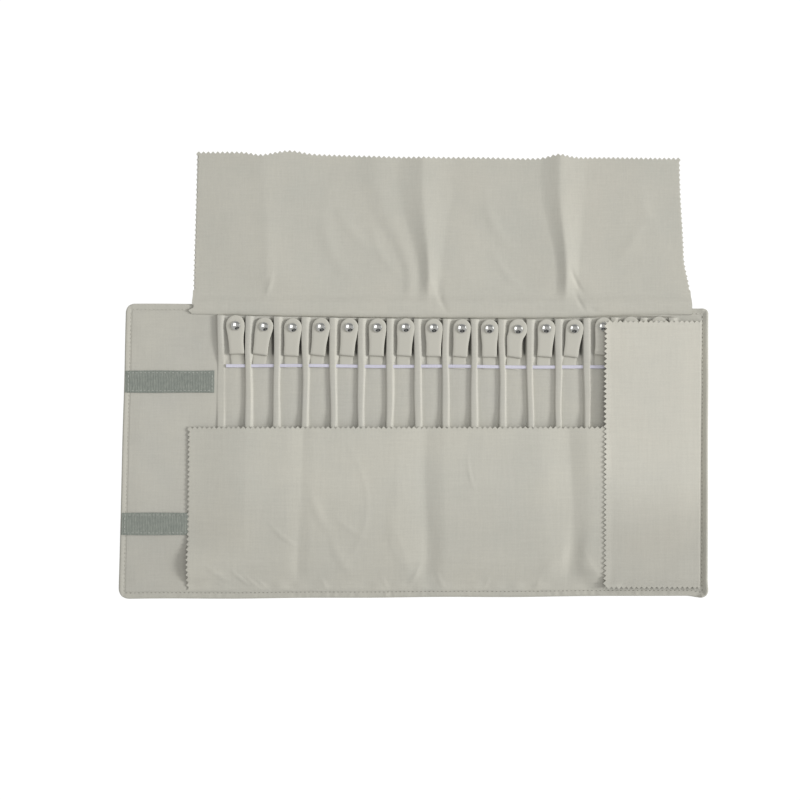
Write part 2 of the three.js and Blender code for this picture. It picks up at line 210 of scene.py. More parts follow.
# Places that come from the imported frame, in millimetres; FLOOR is the height of the lining
JOINT = {joint["name"]: np.array(joint["pos_m"]) / MM for joint in frame["joints"]}
FOLDS = [JOINT[f"fold_{span}"][0] for span in SPANS]
TOP_HINGE_Y = JOINT["top_flap_turn_b"][1]
HALF_X, HALF_Y = node_box(*lengths("outer_cover"))[1][:2]
TOP_LOW, TOP_HIGH = node_box(*lengths("top_flap"))
BOTTOM_LOW, BOTTOM_HIGH = node_box(*lengths("bottom_flap"))
RIGHT_LOW, RIGHT_HIGH = node_box("right_flap")
CAP_BOX = {lane: node_box(f"snap_cap_{lane:02d}") for lane in LANES}
LANE_X = {lane: (low[0] + high[0]) / 2 for lane, (low, high) in CAP_BOX.items()}
CAP_LOW, CAP_HIGH = CAP_BOX[1]
CAP_Y = (CAP_LOW[1] + CAP_HIGH[1]) / 2
CAP_TOP = CAP_HIGH[2]
CAP_RADIUS = (CAP_HIGH[0] - CAP_LOW[0]) / 2
PITCH = LANE_X[2] - LANE_X[1]
RIBS = [LANE_X[1] + PITCH * (index - 0.5) for index in range(len(LANES) + 1)]
STRAP_TOP = node_box("snap_strap_01")[1][2]
FLOOR = node_box("loop_tape_upper")[0][2]
ELASTIC_Y = np.mean([corner[1] for corner in node_box("elastic_b")])

# Body: round corners (low, high), where its ends and sides are pulled out of true (start, width),
# turned hem, folded dividers and the grooves beside the straps
LEFT_CORNERS, RIGHT_CORNERS = (11.0, 9.0), (8.0, 6.0)
END_PULL, SIDE_PULL = (215, 75), (118, 27)
HEM = 6.4
SEWN = HEM - 0.6
UNDER = 0.3
RIM = 1.95
HEM_TOP = UNDER + 2 * RIM
CUTS = [LANE_X[5], LANE_X[10]]
BEND_REACH = 14.0
EDGE_STEPS = np.array([0, 0.15, 0.45, 0.9, 1.5, 2.2, 3.2, 4.4, 5.2, 5.9, 6.4, 6.8, 7.6, 9.6])
RIB_LEFT_STEPS = [-8.4, -7.5, -6.7, -6, -5.2, -4.5, -4, -3.7, -3.5, -3.3, -3, -2.6, -1.8]
RIB_STEPS = np.array(RIB_LEFT_STEPS + [0, 1.8, 2.6, 3.4, 4.2, 5, 6, 7.2])
RIB_HALF = 3.4
RIB_FOOT = 0.7
RIB_SHOWN = 7.8
RIB_FRONT, RIB_BACK = -124.0, 133.0
GROOVE_DEPTH = 2.5
GROOVE_WIDE = 4.2
BODY_FILL = 0.25

# Flaps: pinked edges, and the lines where each flap is sewn on and where its pinked sides begin
TEETH = 5.0
TOOTH_DEPTH = 2.4
TIP_ROW = 3.4
CLOTH_THICKNESS = 0.5
JOIN = 0.2
TOP_ROOT = 134.0
TOP_FLAT = 160.0
ROLL_REACH = 5.5
BOTTOM_ROOT = -HALF_Y + HEM - 0.5
BOTTOM_FLAT = -117.0
BOTTOM_HIGHEST = 9.5
RIGHT_WALL = 0.9
RIGHT_BEND = 7.4
RIGHT_FOOT = 4.4

# Standing creases of the top flap: place, height, reach to the left and to the right (near, far),
# height kept at the far end, share of a second ridge; then broad roofs: place, height, reach left and right
TOP_CREASES = (
    (-147.0, 0.3, (8, 22), (9, 20), 0.7, 0.0),
    (12.5, 2.6, (10, 25), (13, 33), 0.85, 0.25),
    (150.5, 3.1, (10, 20), (13, 28), 0.85, 0.0),
)
TOP_ROOFS = ((-147.0, 2.3, 78, 62), (14.0, 0.6, 40, 60), (152.0, 0.4, 50, 50))
# Valleys of the bottom flap: place, depth, more depth low down, reach left and right
BOTTOM_VALLEYS = ((-113.0, 0.7, 0.2, 15, 11), (10.5, 2.1, 0.5, 29, 20), (153.0, 2.0, 1.3, 31, 19))
# Small wrinkles: middle, slope, length, height and width
TOP_WRINKLES = (
    (160.5, 170, -2.0, 12, -1.0, 1.9), (164, 148, -2.1, 9, -0.9, 1.8), (177, 140, -0.3, 5, -0.6, 1.8),
    (25, 153, -3.3, 15, -0.9, 2.8), (23, 169.5, 0.1, 5, -0.45, 1.5), (-146, 165, 3.0, 11, 0.5, 2.2),
    (-154, 173, 0.3, 8, 0.4, 2.0), (-88, 210, -3.6, 40, 0.5, 7.0), (-60, 215, -1.1, 30, 0.4, 6.0),
    (-36, 200, -2.0, 26, 0.35, 5.0), (78, 228, -2.0, 24, 0.5, 6.0), (92, 176, -1.2, 20, 0.35, 4.0),
    (215, 205, 1.4, 30, 0.4, 6.0), (232, 240, -2.4, 26, 0.35, 7.0),
)
BOTTOM_WRINKLES = (
    (-170, -128, -0.75, 12, 0.5, 1.8), (-160, -131, -0.8, 10, 0.5, 1.6), (-150, -133, -0.8, 8, 0.4, 1.6),
    (-192, -124, -0.6, 14, 0.4, 2.4), (-134, -82, -0.9, 14, 0.3, 2.2), (-126, -88, -0.8, 12, 0.3, 2.2),
    (-64, -78, -0.7, 16, 0.3, 3.0), (-96, -62, -2.2, 16, 0.5, 4.5), (-20, -90, -3.6, 26, 0.6, 6.0),
    (-75, -105, -1.8, 18, 0.5, 5.0), (-48, -60, 12.0, 60, 0.2, 3.0), (53, -22, -5.0, 15, 0.32, 1.8),
    (0, -122, 2.0, 12, 0.45, 2.6), (24, -128, -2.2, 9, 0.35, 2.2), (135, -112, 0.9, 22, 0.35, 5.0),
    (172, -112, -1.6, 16, 0.3, 3.0), (120, -132, 2.4, 7, 0.3, 2.0), (-30, -132, -2.0, 8, 0.3, 2.0),
    (70, -131, 2.2, 8, 0.3, 2.0), (-90, -132, -1.8, 8, 0.3, 2.0),
)

# Straps and snaps: sizes, then how each strap lies: lean in degrees, shift in x and y, wider head, bow
STRAP_THICK = 1.2
BACK_THICK = 0.8
BACK_HALF = 6.4
LEAF_Z = STRAP_TOP - STRAP_THICK / 2
BACK_Z = FLOOR + 0.1 + BACK_THICK / 2
FOLD_EDGE = 93.2
HEAD = 8.8
HEAD_UP = 0.7
HEAD_Y = CAP_Y + HEAD_UP
HEAD_ANGLES = np.radians([12, 24, 36, 48, 58, 67, 75, 82, 86.5, 89.5])
NECK = 7.4
LEAN = {
    1: -2.4, 2: 8.5, 3: 3.5, 4: 6.8, 5: 5.4, 6: 2.6, 7: 3.6, 8: 0.8,
    9: 4.6, 10: 0.5, 11: 8.6, 12: 4.7, 13: 8.6, 14: 4.5, 15: 1.0,
}
USUAL_ASIDE = 2.2
ASIDE = {1: 1.3, 2: 1.6, 3: 2.0, 4: 2.0, 10: 1.6, 14: 3.2}
ALONG = {
    1: 2.4, 2: 1.4, 3: 0.5, 4: 0.8, 5: 0.6, 6: 0.4, 7: 0.5, 9: -0.4,
    10: -0.7, 11: -1.2, 12: -0.5, 13: -0.6, 14: 1.4, 15: 2.2, 16: 2.2,
}
WIDER = {1: 0.13, 11: 0.1}
BOW = {1: 0.5, 2: 0.5, 11: 2.2}
# The sewn tongue below a strap's fold: place, half width and height above the back leaf
TAIL = ((104, 6.9, 0.0), (96, 6.9, 0.0), (90, 6.7, 0.25), (84.5, 6.4, 0.05), (81.5, 6.2, -0.1))
TAIL_THICK = 0.7
# Turned shapes of the snap, as pairs of radius and height
AXIS = 0.001
CAP_BULGE = 0.27
SOCKET = (
    (AXIS, -0.25), (1.5, -0.25), (1.65, -0.9), (2.3, -1.0), (3.2, -0.55), (3.5, -0.1), (3.5, 0.1),
    (AXIS, 0.1),
)
STUD = (
    (AXIS, 1.35), (0.8, 1.3), (1.25, 1.0), (1.25, 0.75), (1.05, 0.45), (2.6, 0.3), (3.3, 0.1), (3.3, -0.1),
    (AXIS, -0.1),
)

# Elastic, tapes and stitches; a stitch is drawn by its place along it, width and lift
ELASTIC_HALF = 1.65
ELASTIC_THICK = 0.9
ELASTIC_LIFT = 1.15
TAPE_SWELL = 0.22
TAPE_SEAM = 2.2
TAPE_STITCH = {"pitch": 4.0, "length": 2.7, "radius": 0.3}
HEM_STITCH = {"pitch": 4.1, "length": 1.9, "radius": 0.3}
SPINDLE = ((0.0, 0.2, -0.3), (0.2, 0.9, 0.0), (0.5, 1.0, 0.1), (0.8, 0.9, 0.0), (1.0, 0.2, -0.3))
SPINDLE_SIDES = 6

# Where along y the cloths fade, a painted fall-off of light that darkens them towards the bottom, and how strong and
# how fine their drawn threads are
SHADE_FALLOFF_SPAN = (-95.0 * MM, -15.0 * MM)
STREAK = 0.02
STREAK_SCALES = ((45.0, 800.0, 45.0), (800.0, 45.0, 45.0))

# Stage: camera, light, and plain cards overhead that only the snaps mirror, each a level and its corners
IMAGE = 800
PIXELS_PER_MM = 1.0052
VIEW_CENTRE = Vector((-15.4, 50.2, 4.0)) * MM
VIEW_DISTANCE = 0.95
VIEW_TILT = radians(2.2)
SENSOR = 36.0
WHITE = (1.0, 1.0, 1.0, 1.0)
BLACK = (0.0, 0.0, 0.0, 1.0)
FLOOR_COLOUR = (0.86, 0.86, 0.85, 1.0)
FLOOR_HALF = 6000.0
FLOOR_Z = -0.1
FLOOR_GLOW = 1.08
FLOOR_GLOW_SHARE = 0.9
WORLD_COLOUR = (1.0, 0.995, 0.985, 1.0)
AMBIENT_LEVEL = 0.56
MIRRORED_LEVEL = 0.45
SEEN_LEVEL = 1.0
CARD_HEIGHT = 940
CARD_STEP = 10
CARDS = {
    "dark_card": (0.01, ((130, 20), (850, -280), (900, -1000), (-500, -1000), (-480, -330))),
    "grey_card": (0.16, ((90, -130), (360, -380), (320, -620), (-60, -620), (-110, -380))),
    "wall_card": (0.22, ((-500, 700), (800, 700), (1300, 1700), (-1000, 1700))),
    "left_card": (1.9, ((-850, 150), (-230, 150), (-230, 800), (-850, 1000))),
    "right_card": (1.9, ((1150, 300), (1750, 300), (1750, 1000), (1150, 1000))),
}
# A low window on the right and a soft fill above: place and aim in metres, and the lamp's own values
LAMPS = (
    ("key_window", "SUN", (1.6, 0.12, 0.70), (0.0, 0.0, 0.0), {"energy": 2.6, "angle": radians(16)}),
    ("fill_softbox", "AREA", (0.3, 0.1, 0.85), (0.06, 0.06, 0.0), {"energy": 2.0, "size": 0.95}),
)


# Small shape helpers


def smooth(t):
    """A soft step from 0 to 1."""
    t = np.clip(t, 0.0, 1.0)
    return t * t * (3.0 - 2.0 * t)


def step(value, start, width):
    """A soft step from 0 to 1 over a width, or the other way if that is below 0."""
    return smooth((value - start) / width)


def bump(value, centre, width):
    """A soft hump of height 1."""
    return np.exp(-(((value - centre) / width) ** 2))


def ripple(x, y, length, seed):
    """Slow uneven waves between about -1 and 1, the same on every run."""
    first = np.sin(x / length + 1.7 * seed)
    second = np.sin((0.6 * x + 0.8 * y) / (0.73 * length) + 3.1 * seed)
    third = np.sin((0.8 * x - 0.6 * y) / (1.31 * length) + 5.3 * seed)
    return (first + second + third) / 2.2


def ridge(x, centre, left, right):
    """A soft ridge of height 1 with a width to each side."""
    return step(x, centre - left, left) * step(x, centre + right, -right)


def tent(x, centre, left, right):
    """A crease of height 1 with a nearly sharp crest and hollow flanks."""
    crest = 0.1
    off = np.where(x < centre, (centre - x) / left, (x - centre) / right)
    fall = (np.sqrt(off**2 + crest**2) - crest) / (hypot(1, crest) - crest)
    return np.clip(1 - fall, 0, 1) ** 1.4


def wrinkle(x, y, centre_x, centre_y, slope, length, rise, width):
    """One soft, slightly bent ridge across the cloth."""
    norm = hypot(1, slope)
    along = ((x - centre_x) + slope * (y - centre_y)) / norm
    across = ((y - centre_y) - slope * (x - centre_x)) / norm
    return rise * bump(along, 0, length) * bump(across - 0.006 * along**2, 0, width)


def thin_out(groups, least):
    """Values of some groups in order, without those too near the one before."""
    kept = []
    for value in sorted(np.concatenate(groups)):
        if not kept or value - kept[-1] > least:
            kept.append(value)
    return np.array(kept)


def spaced(x, y, z):
    """Points from their three coordinates."""
    return np.stack([x, y, z], axis=-1)


def grid_faces(rows, columns, keep=None):
    """Quads of a grid of points, row by row, where keep says so."""
    index = np.arange(rows * columns).reshape(rows, columns)
    quads = np.stack([index[:-1, :-1], index[:-1, 1:], index[1:, 1:], index[1:, :-1]], axis=-1)
    if keep is not None:
        return quads[keep].tolist()
    return quads.reshape(-1, 4).tolist()


def joined(*shapes):
    """Points and faces of several shapes as one."""
    groups = [np.reshape(points, (-1, 3)) for points, _ in shapes]
    firsts = np.cumsum([0] + [len(group) for group in groups]).tolist()
    faces = []
    for first, (_, more) in zip(firsts, shapes):
        faces += [[corner + first for corner in face] for face in more]
    return np.concatenate(groups), faces


def make_object(name, points, faces, material, flat=0):
    """A smooth mesh object from points in millimetres; its last faces may be flat."""
    mesh = bpy.data.meshes.new(name)
    mesh.from_pydata((np.asarray(points).reshape(-1, 3) * MM).tolist(), [], faces)
    mesh.validate()
    mesh.polygons.foreach_set("use_smooth", [True] * (len(mesh.polygons) - flat) + [False] * flat)
    mesh.materials.append(material)
    made = bpy.data.objects.new(name, mesh)
    bpy.context.scene.collection.objects.link(made)
    return made


def tidy_mesh(made):
    """Joins points that share a place, drops loose ones and turns the faces outwards."""
    shape = bmesh.new()
    shape.from_mesh(made.data)
    bmesh.ops.remove_doubles(shape, verts=shape.verts, dist=0.02 * MM)
    loose = [vertex for vertex in shape.verts if not vertex.link_faces]
    bmesh.ops.delete(shape, geom=loose, context="VERTS")
    bmesh.ops.recalc_face_normals(shape, faces=shape.faces)
    shape.to_mesh(made.data)
    shape.free()


def turn_up(made):
    """Turns an open sheet's faces up."""
    total = sum(polygon.normal.z * polygon.area for polygon in made.data.polygons)
    if total < 0:
        made.data.flip_normals()


def tube(name, rings, material, closed=False):
    """A tube through rings of points, closed by flat ends if asked for."""
    rings = np.concatenate([rings, rings[:, :1]], axis=1)
    count, around = rings.shape[:2]
    faces = grid_faces(count, around)
    if closed:
        last = (count - 1) * around
        faces += [list(range(around - 1))[::-1], list(range(last, last + around - 1))]
    made = make_object(name, rings, faces, material, 2 if closed else 0)
    tidy_mesh(made)
    return made


def lathe(profile, base, centre, sides=36):
    """Points and faces of a turned shape from pairs of radius and height above a base."""
    x, y = centre
    angles = np.linspace(0, 2 * pi, sides + 1)
    points = [[(x + r * cos(a), y + r * sin(a), base + z) for a in angles] for r, z in profile]
    return points, grid_faces(len(profile), sides + 1)


# Materials


class Look:
    """The nodes of a material or world, with short ways to add and join them."""

    def __init__(self, owner, shader="Principled BSDF"):
        owner.use_nodes = True
        self.owner = owner
        self.tree = owner.node_tree
        self.shader = self.tree.nodes[shader]

    def join(self, socket, value):
        """Links a socket to another one, or gives it a plain value."""
        if isinstance(value, bpy.types.NodeSocket):
            self.tree.links.new(value, socket)
        else:
            socket.default_value = value

    def fill(self, node, values):
        """Sets a node's inputs or properties by name; an underscore stands for a space."""
        for name, value in values.items():
            socket = node.inputs.get(name.replace("_", " "))
            if socket:
                self.join(socket, value)
            else:
                setattr(node, name, value)
        return node

    def node(self, kind, **values):
        return self.fill(self.tree.nodes.new(f"ShaderNode{kind}"), values)

    def finish(self, **values):
        """Sets the shader's inputs and gives back the material or world."""
        self.fill(self.shader, values)
        return self.owner

    def place(self):
        return self.node("TexCoord").outputs["Object"]

    def noise(self, place, scale, detail, rough=0.5):
        return self.node("TexNoise", Vector=place, Scale=scale, Detail=detail, Roughness=rough).outputs["Fac"]

    def wave(self, place, direction, pitch, **values):
        """Waves that come once in each pitch, in millimetres."""
        scale = 2 * pi / (20 * pitch * MM)
        values.update(Vector=place, bands_direction=direction, Scale=scale)
        return self.node("TexWave", **values).outputs["Fac"]

    def maths(self, operation, first, second):
        node = self.node("Math", operation=operation)
        self.join(node.inputs[0], first)
        self.join(node.inputs[1], second)
        return node.outputs[0]

    def remapped(self, value, source=(0.0, 1.0), target=(0.0, 1.0), kind="LINEAR"):
        """A value moved from one range to another."""
        node = self.node("MapRange", interpolation_type=kind, Value=value)
        for socket, limit in zip(node.inputs[1:5], (*source, *target)):
            socket.default_value = limit
        return node.outputs["Result"]

    def mixed(self, factor, first, second):
        """A colour between two."""
        node = self.node("Mix", data_type="RGBA")
        for index, value in ((0, factor), (6, first), (7, second)):
            self.join(node.inputs[index], (*value, 1.0) if isinstance(value, tuple) else value)
        return node.outputs[2]

    def relief(self, height, strength, distance):
        node = self.node("Bump", Strength=strength, Distance=distance * MM, Height=height)
        return node.outputs["Normal"]


def cloth(name, colour, shade, weave=0.5, relief=0.25, fade=(1.0, 1.0), deep=None):
    """Woven cloth: fine crossed threads, slubs and slow patches of a warmer and a greyer tone.

    fade is the tone at its two ends, painted shade and light for light that falls off along y; deep gives two heights
    in millimetres and the tone at the lower one, painted shade in its sunk places.
    """
    look = Look(bpy.data.materials.new(name))
    place = look.place()
    parts = look.node("SeparateXYZ", Vector=place)
    slubs = look.noise(place, 620.0, 2.0, 0.6)
    patches = look.remapped(look.noise(place, 14.0, 3.0, 0.55), (0.32, 0.68))
    # Painted shade: the tone follows y, standing in for light that falls off towards the bottom.
    ends = look.remapped(parts.outputs["Y"], SHADE_FALLOFF_SPAN, fade, "SMOOTHSTEP")
    level = look.maths("MULTIPLY", look.remapped(slubs, target=(0.94, 1.05)), ends)
    for scales in STREAK_SCALES:
        drawn = look.node("Mapping", Vector=place, Scale=scales).outputs["Vector"]
        streak = look.remapped(look.noise(drawn, 1.0, 2.0), (0.3, 0.7), (1.0 - STREAK, 1.0 + STREAK))
        level = look.maths("MULTIPLY", level, streak)
    # Painted shade: cloth below the given height is darkened, standing in for the shade in sunk places such as the
    # grooves beside the straps and the slot at the top flap's sewn edge.
    if deep:
        low, high, dark = deep
        sunk = look.remapped(parts.outputs["Z"], (low * MM, high * MM), (dark, 1.0), "SMOOTHSTEP")
        level = look.maths("MULTIPLY", level, sunk)
    toned = look.node("VectorMath", operation="SCALE", Scale=level)
    look.join(toned.inputs[0], look.mixed(patches, colour, shade))
    threads = [look.wave(place, way, weave, Distortion=1.2, Detail_Scale=2.0) for way in "XY"]
    height = look.maths("ADD", look.maths("MAXIMUM", *threads), slubs)
    return look.finish(
        Base_Color=toned.outputs["Vector"],
        Normal=look.relief(height, relief, 0.12),
        Roughness=0.85,
        Sheen_Weight=0.12,
        Sheen_Roughness=0.5,
        Specular_IOR_Level=0.25,
    )


def hide_cloth(name, colour, shade):
    """Smooth coated strap with a fine grain."""
    look = Look(bpy.data.materials.new(name))
    place = look.place()
    grain = look.node("TexVoronoi", Vector=place, Scale=1500.0).outputs["Distance"]
    cloud = look.noise(place, 60.0, 3.0)
    return look.finish(
        Base_Color=look.mixed(cloud, colour, shade),
        Normal=look.relief(grain, 0.12, 0.1),
        Roughness=look.remapped(cloud, target=(0.5, 0.66)),
        Specular_IOR_Level=0.15,
    )


def nickel(name, colour):
    """Polished plated metal with faint rub marks."""
    look = Look(bpy.data.materials.new(name))
    rub = look.noise(look.place(), 900.0, 4.0)
    rough = look.remapped(rub, target=(0.06, 0.16))
    return look.finish(Base_Color=(*colour, 1.0), Metallic=1.0, Roughness=rough)


def pile_tape(name, colour, shade, pitch, relief):
    """Hook or loop tape: a ribbed ground with a fuzzy or bristly face."""
    look = Look(bpy.data.materials.new(name))
    place = look.place()
    fuzz = look.noise(place, 1400.0, 5.0, 0.7)
    tufts = look.remapped(look.noise(place, 260.0, 3.0, 0.65), (0.35, 0.65))
    ribs = look.wave(place, "X", pitch, Distortion=3.0)
    tone = look.mixed(tufts, colour, shade)
    darker = tuple(0.8 * part for part in shade)
    return look.finish(
        Base_Color=look.mixed(look.remapped(ribs, target=(0.0, 0.45)), tone, darker),
        Normal=look.relief(look.maths("ADD", fuzz, ribs), relief, 0.3),
        Roughness=0.9,
        Sheen_Weight=0.25,
    )


# The fade values paint shade and light: the cloths darken towards the bottom, where the light falls off, and the right
# flap brightens towards its top.
COVER = cloth("cover_cloth", (0.478, 0.466, 0.410), (0.454, 0.445, 0.396), fade=(0.93, 1.0))
# The lining's deep values paint shade into its sunk grooves and slot.
LINING = cloth(
    "lining_cloth", (0.480, 0.468, 0.412), (0.456, 0.448, 0.403), fade=(0.92, 1.0), deep=(1.3, 3.0, 0.25)
)
FLAP = cloth("flap_cloth", (0.494, 0.480, 0.421), (0.464, 0.457, 0.406), relief=0.3)
# Painted light: a lighter copy of the flap cloth, for the brighter light on the bottom flap.
BOTTOM = cloth(
    "bottom_flap_cloth", (0.512, 0.498, 0.436), (0.484, 0.476, 0.423), relief=0.3, fade=(0.93, 1.0)
)
# Painted light and sheen: a lighter copy of the flap cloth, standing in for the brighter light and nap sheen on the
# right flap.
RIGHT = cloth("right_flap_cloth", (0.518, 0.502, 0.441), (0.498, 0.488, 0.434), relief=0.3, fade=(0.87, 1.07))
# Painted shade: a darker copy of the hem thread, for stitches whose holes lie in shade on the bottom and right rows.
SHADED_HEM_THREAD = cloth("shaded_hem_thread", (0.245, 0.236, 0.200), (0.210, 0.203, 0.172), weave=0.3)
HEM_THREAD = cloth("hem_thread", (0.405, 0.395, 0.345), (0.375, 0.367, 0.322), weave=0.3)
TAPE_THREAD = cloth("tape_thread", (0.430, 0.445, 0.405), (0.380, 0.395, 0.360), weave=0.3)
ELASTIC = cloth("elastic_web", (0.616, 0.607, 0.695), (0.537, 0.528, 0.616), weave=0.7, relief=0.5)
STRAP = hide_cloth("strap_hide", (0.500, 0.487, 0.430), (0.472, 0.461, 0.409))
METAL = nickel("snap_metal", (0.80, 0.80, 0.77))
LOOP = pile_tape("loop_tape", (0.269, 0.289, 0.255), (0.211, 0.231, 0.206), 1.6, 0.6)
HOOK = pile_tape("hook_tape", (0.225, 0.240, 0.210), (0.180, 0.195, 0.172), 1.2, 0.9)


# The padded body: cover with its turned hem, and lining with its folded dividers


def panel_of(x):
    """Name of the panel that a place along the roll belongs to."""
    return f"panel_{PANELS[sum(x > fold for fold in FOLDS)]}"


def resting_on(name, letter):
    """Names of a cloth's lengths that lie under one panel's flap."""
    return [f"{name}_{span}" for span in SPANS if letter in span]


def fold_lines(gap):
    """Lines close together at each fold."""
    return [fold + np.arange(-BEND_REACH, BEND_REACH + 0.1, gap) for fold in FOLDS]


def body_lines():
    """Columns and rows of the body's grid, close together at edges, dividers and folds."""
    columns = [-HALF_X + EDGE_STEPS, HALF_X - EDGE_STEPS, np.arange(-HALF_X + 12, HALF_X - 11, 3.0), CUTS]
    columns += [rib + RIB_STEPS for rib in RIBS] + fold_lines(1.2)
    rows = [-HALF_Y + EDGE_STEPS, HALF_Y - EDGE_STEPS, np.arange(-HALF_Y + 12, HALF_Y - 11, 4.5)]
    rows += [RIB_FRONT + np.arange(-6, 7, 1.5), RIB_BACK + np.arange(-4, 4.6, 0.55)]
    return thin_out(columns, 0.12), thin_out(rows, 0.12)


def split_columns(columns, cuts):
    """The columns of each length of cloth, with the cut lines in both neighbours."""
    limits = [columns[0], *cuts, columns[-1]]
    return [columns[(columns >= a - 1e-6) & (columns <= b + 1e-6)] for a, b in zip(limits, limits[1:])]


def left_lean(y):
    """How far the tab's end is pulled aside along its height."""
    return 2.2 * y / HALF_Y - 1.6


def right_lean(y):
    """The same for the other end."""
    return 2.4 * y / HALF_Y


def body_place(x, y):
    """The grid drawn in to the round corners and pulled a little out of true, as sewn cloth is."""
    radius = np.where(x < 0, np.where(y < 0, *LEFT_CORNERS), np.where(y < 0, *RIGHT_CORNERS))
    straight_x, straight_y = HALF_X - radius, HALF_Y - radius
    u = np.clip((np.abs(x) - straight_x) / radius, 0, 1)
    v = np.clip((np.abs(y) - straight_y) / radius, 0, 1)
    corner = (u > 0) & (v > 0)
    round_x = np.sign(x) * (straight_x + radius * u * np.sqrt(1 - v * v / 2))
    round_y = np.sign(y) * (straight_y + radius * v * np.sqrt(1 - u * u / 2))
    placed_x, placed_y = np.where(corner, round_x, x), np.where(corner, round_y, y)
    end = step(np.abs(x), *END_PULL)
    side = step(np.abs(y), *SIDE_PULL)
    heel = step(x, HALF_X - 20, 12) * step(y, 18 - HALF_Y, -12)
    slant = side * np.sign(y) * 1.7 * placed_x / HALF_X
    sunk = 1.4 * step(x, 200, 60) * step(y, *SIDE_PULL)
    pulled = end * np.where(x < 0, left_lean(placed_y), right_lean(placed_y) + 0.4)
    moved_x = placed_x + pulled + 0.8 * heel + 0.25 * end * ripple(placed_y, 0, 17, 2)
    moved_y = placed_y - slant - sunk - 1.7 * heel + 0.3 * side * ripple(placed_x, 0, 21, 4)
    return moved_x, moved_y


def inset_of(x, y):
    """How far a grid point lies inside the body's edge."""
    return np.minimum(HALF_X - np.abs(x), HALF_Y - np.abs(y))


def rim_drop(inset):
    """How far the padded edge rounds off towards the rim."""
    t = np.clip(1 - inset / RIM, 0, 1)
    return RIM * (1 - np.sqrt(1 - t * t))


def hem_height(x, y):
    """Top of the turned hem: puckered, a little sunk at its stitches, rolled up at the right."""
    inset = inset_of(x, y)
    run = np.where(HALF_Y - np.abs(y) < HALF_X - np.abs(x), x, y)
    gathered = 0.35 + 0.65 * smooth(0.5 + ripple(run, 0, 31, 9)) * step(y, 20 - HALF_Y, -4)
    pucker = gathered * (0.22 * ripple(run, 0, 1.15, 1) + 0.16 * ripple(run, inset, 3.1, 3))
    roll = np.sin(np.pi * np.clip(inset / HEM, 0, 1))
    fall = (HEM_TOP - FLOOR) * step(inset, 1.5, HEM - 2.5)
    sewn = 0.2 * bump(inset, SEWN, 0.7)
    right_roll = (1.9 - 0.9 * step(y, -20, 120)) * step(x, HALF_X - 10, 4) * step(inset, HEM, -4.5)
    return HEM_TOP - fall - rim_drop(inset) + roll * (0.06 + pucker) - sewn + right_roll


def rib_sway(x, y):
    """How far the lining is pulled aside where a divider wanders or widens."""
    shift = np.zeros_like(x)
    for index, centre in enumerate(RIBS):
        near = step(np.abs(x - centre), 9, -3.5)
        wander = 0.45 * np.sin(y / 33 + 1.9 * index) + 0.25 * np.sin(y / 12 + 2.7 * index)
        widen = 0.09 * np.sin(y / 24 + 0.8 * index)
        shift = shift + near * (wander + widen * (x - centre))
    return shift


def in_lanes(x):
    """1 along the lanes, 0 on the tab and at the far end."""
    return step(x, RIBS[0] - 4, 8) * step(x, RIBS[-1] + 4, -8)


def before_slot(x, y):
    """1 in front of the slot at the top flap's sewn edge, 0 behind it."""
    return step(y, top_flap_root(x) - 0.8, -0.7)


def rib_rise(x, y):
    """Height of the dividers: upright, but sloped on their right beside the straps."""
    rise = np.zeros_like(x)
    beside = step(y, 86, 9)
    left_foot = RIB_FOOT - 0.25 * beside
    right_foot = RIB_FOOT + 2.1 * beside
    right_end = RIB_HALF - RIB_FOOT - 0.9 * beside + 2 * right_foot
    for index, centre in enumerate(RIBS):
        off = x - centre
        left = step(off, -RIB_HALF - left_foot, 2 * left_foot)
        right = step(off, right_end, -2 * right_foot)
        crown = 1 - 0.12 * np.clip(np.abs(off) / RIB_HALF, 0, 1) ** 2
        lower = 0.12 + 0.8 * step(y, 74, 45) + 0.2 * step(y, 60, -40) if index == 0 else 1.0
        rise = np.maximum(rise, left * right * crown * lower)
    pressed = 1 - 0.3 * step(y, 26, 16) * (1 - beside) - 0.3 * step(y, 12, -22)
    ends = step(y, RIB_FRONT - 2, 30) * before_slot(x, y)
    return (RIB_SHOWN - FLOOR) * rise * pressed * ends


def strap_groove(x, y):
    """How far the lining sinks between a strap and the divider on its right."""
    sunk = np.zeros_like(x)
    for centre in RIBS[1:]:
        off = x - centre + RIB_HALF
        sunk = np.maximum(sunk, step(off, -GROOVE_WIDE, 2.4) * step(off, 0.1, -0.5))
    return GROOVE_DEPTH * sunk * step(y, 90, 9) * step(y, 133, -4)


def lining_height(x, y):
    """The lining: swelling lanes, dividers, a rise at the back hem, slow waves on the tab."""
    inset = inset_of(x, y)
    lane = (x - RIBS[0]) / PITCH
    within = in_lanes(x)
    swell = 0.35 * np.sin(np.pi * (lane - np.floor(lane))) ** 2 * within
    back = 1.7 * step(y, 127, 5) * within * before_slot(x, y)
    slot = 1.7 * bump(y, top_flap_root(x) - 0.5, 0.9) * within
    tab = step(x, RIBS[0] - 6, -14)
    slow = tab * (0.28 * ripple(x, y, 14, 5) + 0.08 * ripple(x, y, 6, 6)) * step(inset, HEM, 12)
    tuck = 0.6 * step(inset, HEM + 0.3, -0.8)
    raised = np.maximum(swell + rib_rise(x, y), back)
    return FLOOR - 0.15 + raised - strap_groove(x, y) - slot + slow - tuck


def cell_limits(values):
    """The least and the most of the four corners of each grid cell."""
    corners = [values[:-1, :-1], values[:-1, 1:], values[1:, 1:], values[1:, :-1]]
    return np.min(corners, axis=0), np.max(corners, axis=0)


def bend_at_fold(piece, span):
    """The piece follows both panels of a fold and goes round it in a soft bend."""
    fold = FOLDS[SPANS.index(span)]
    start, end = (((fold + reach) * MM, 0, 0) for reach in (-BEND_REACH, BEND_REACH))
    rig.blend(piece, *lengths("panel", span), start, end)


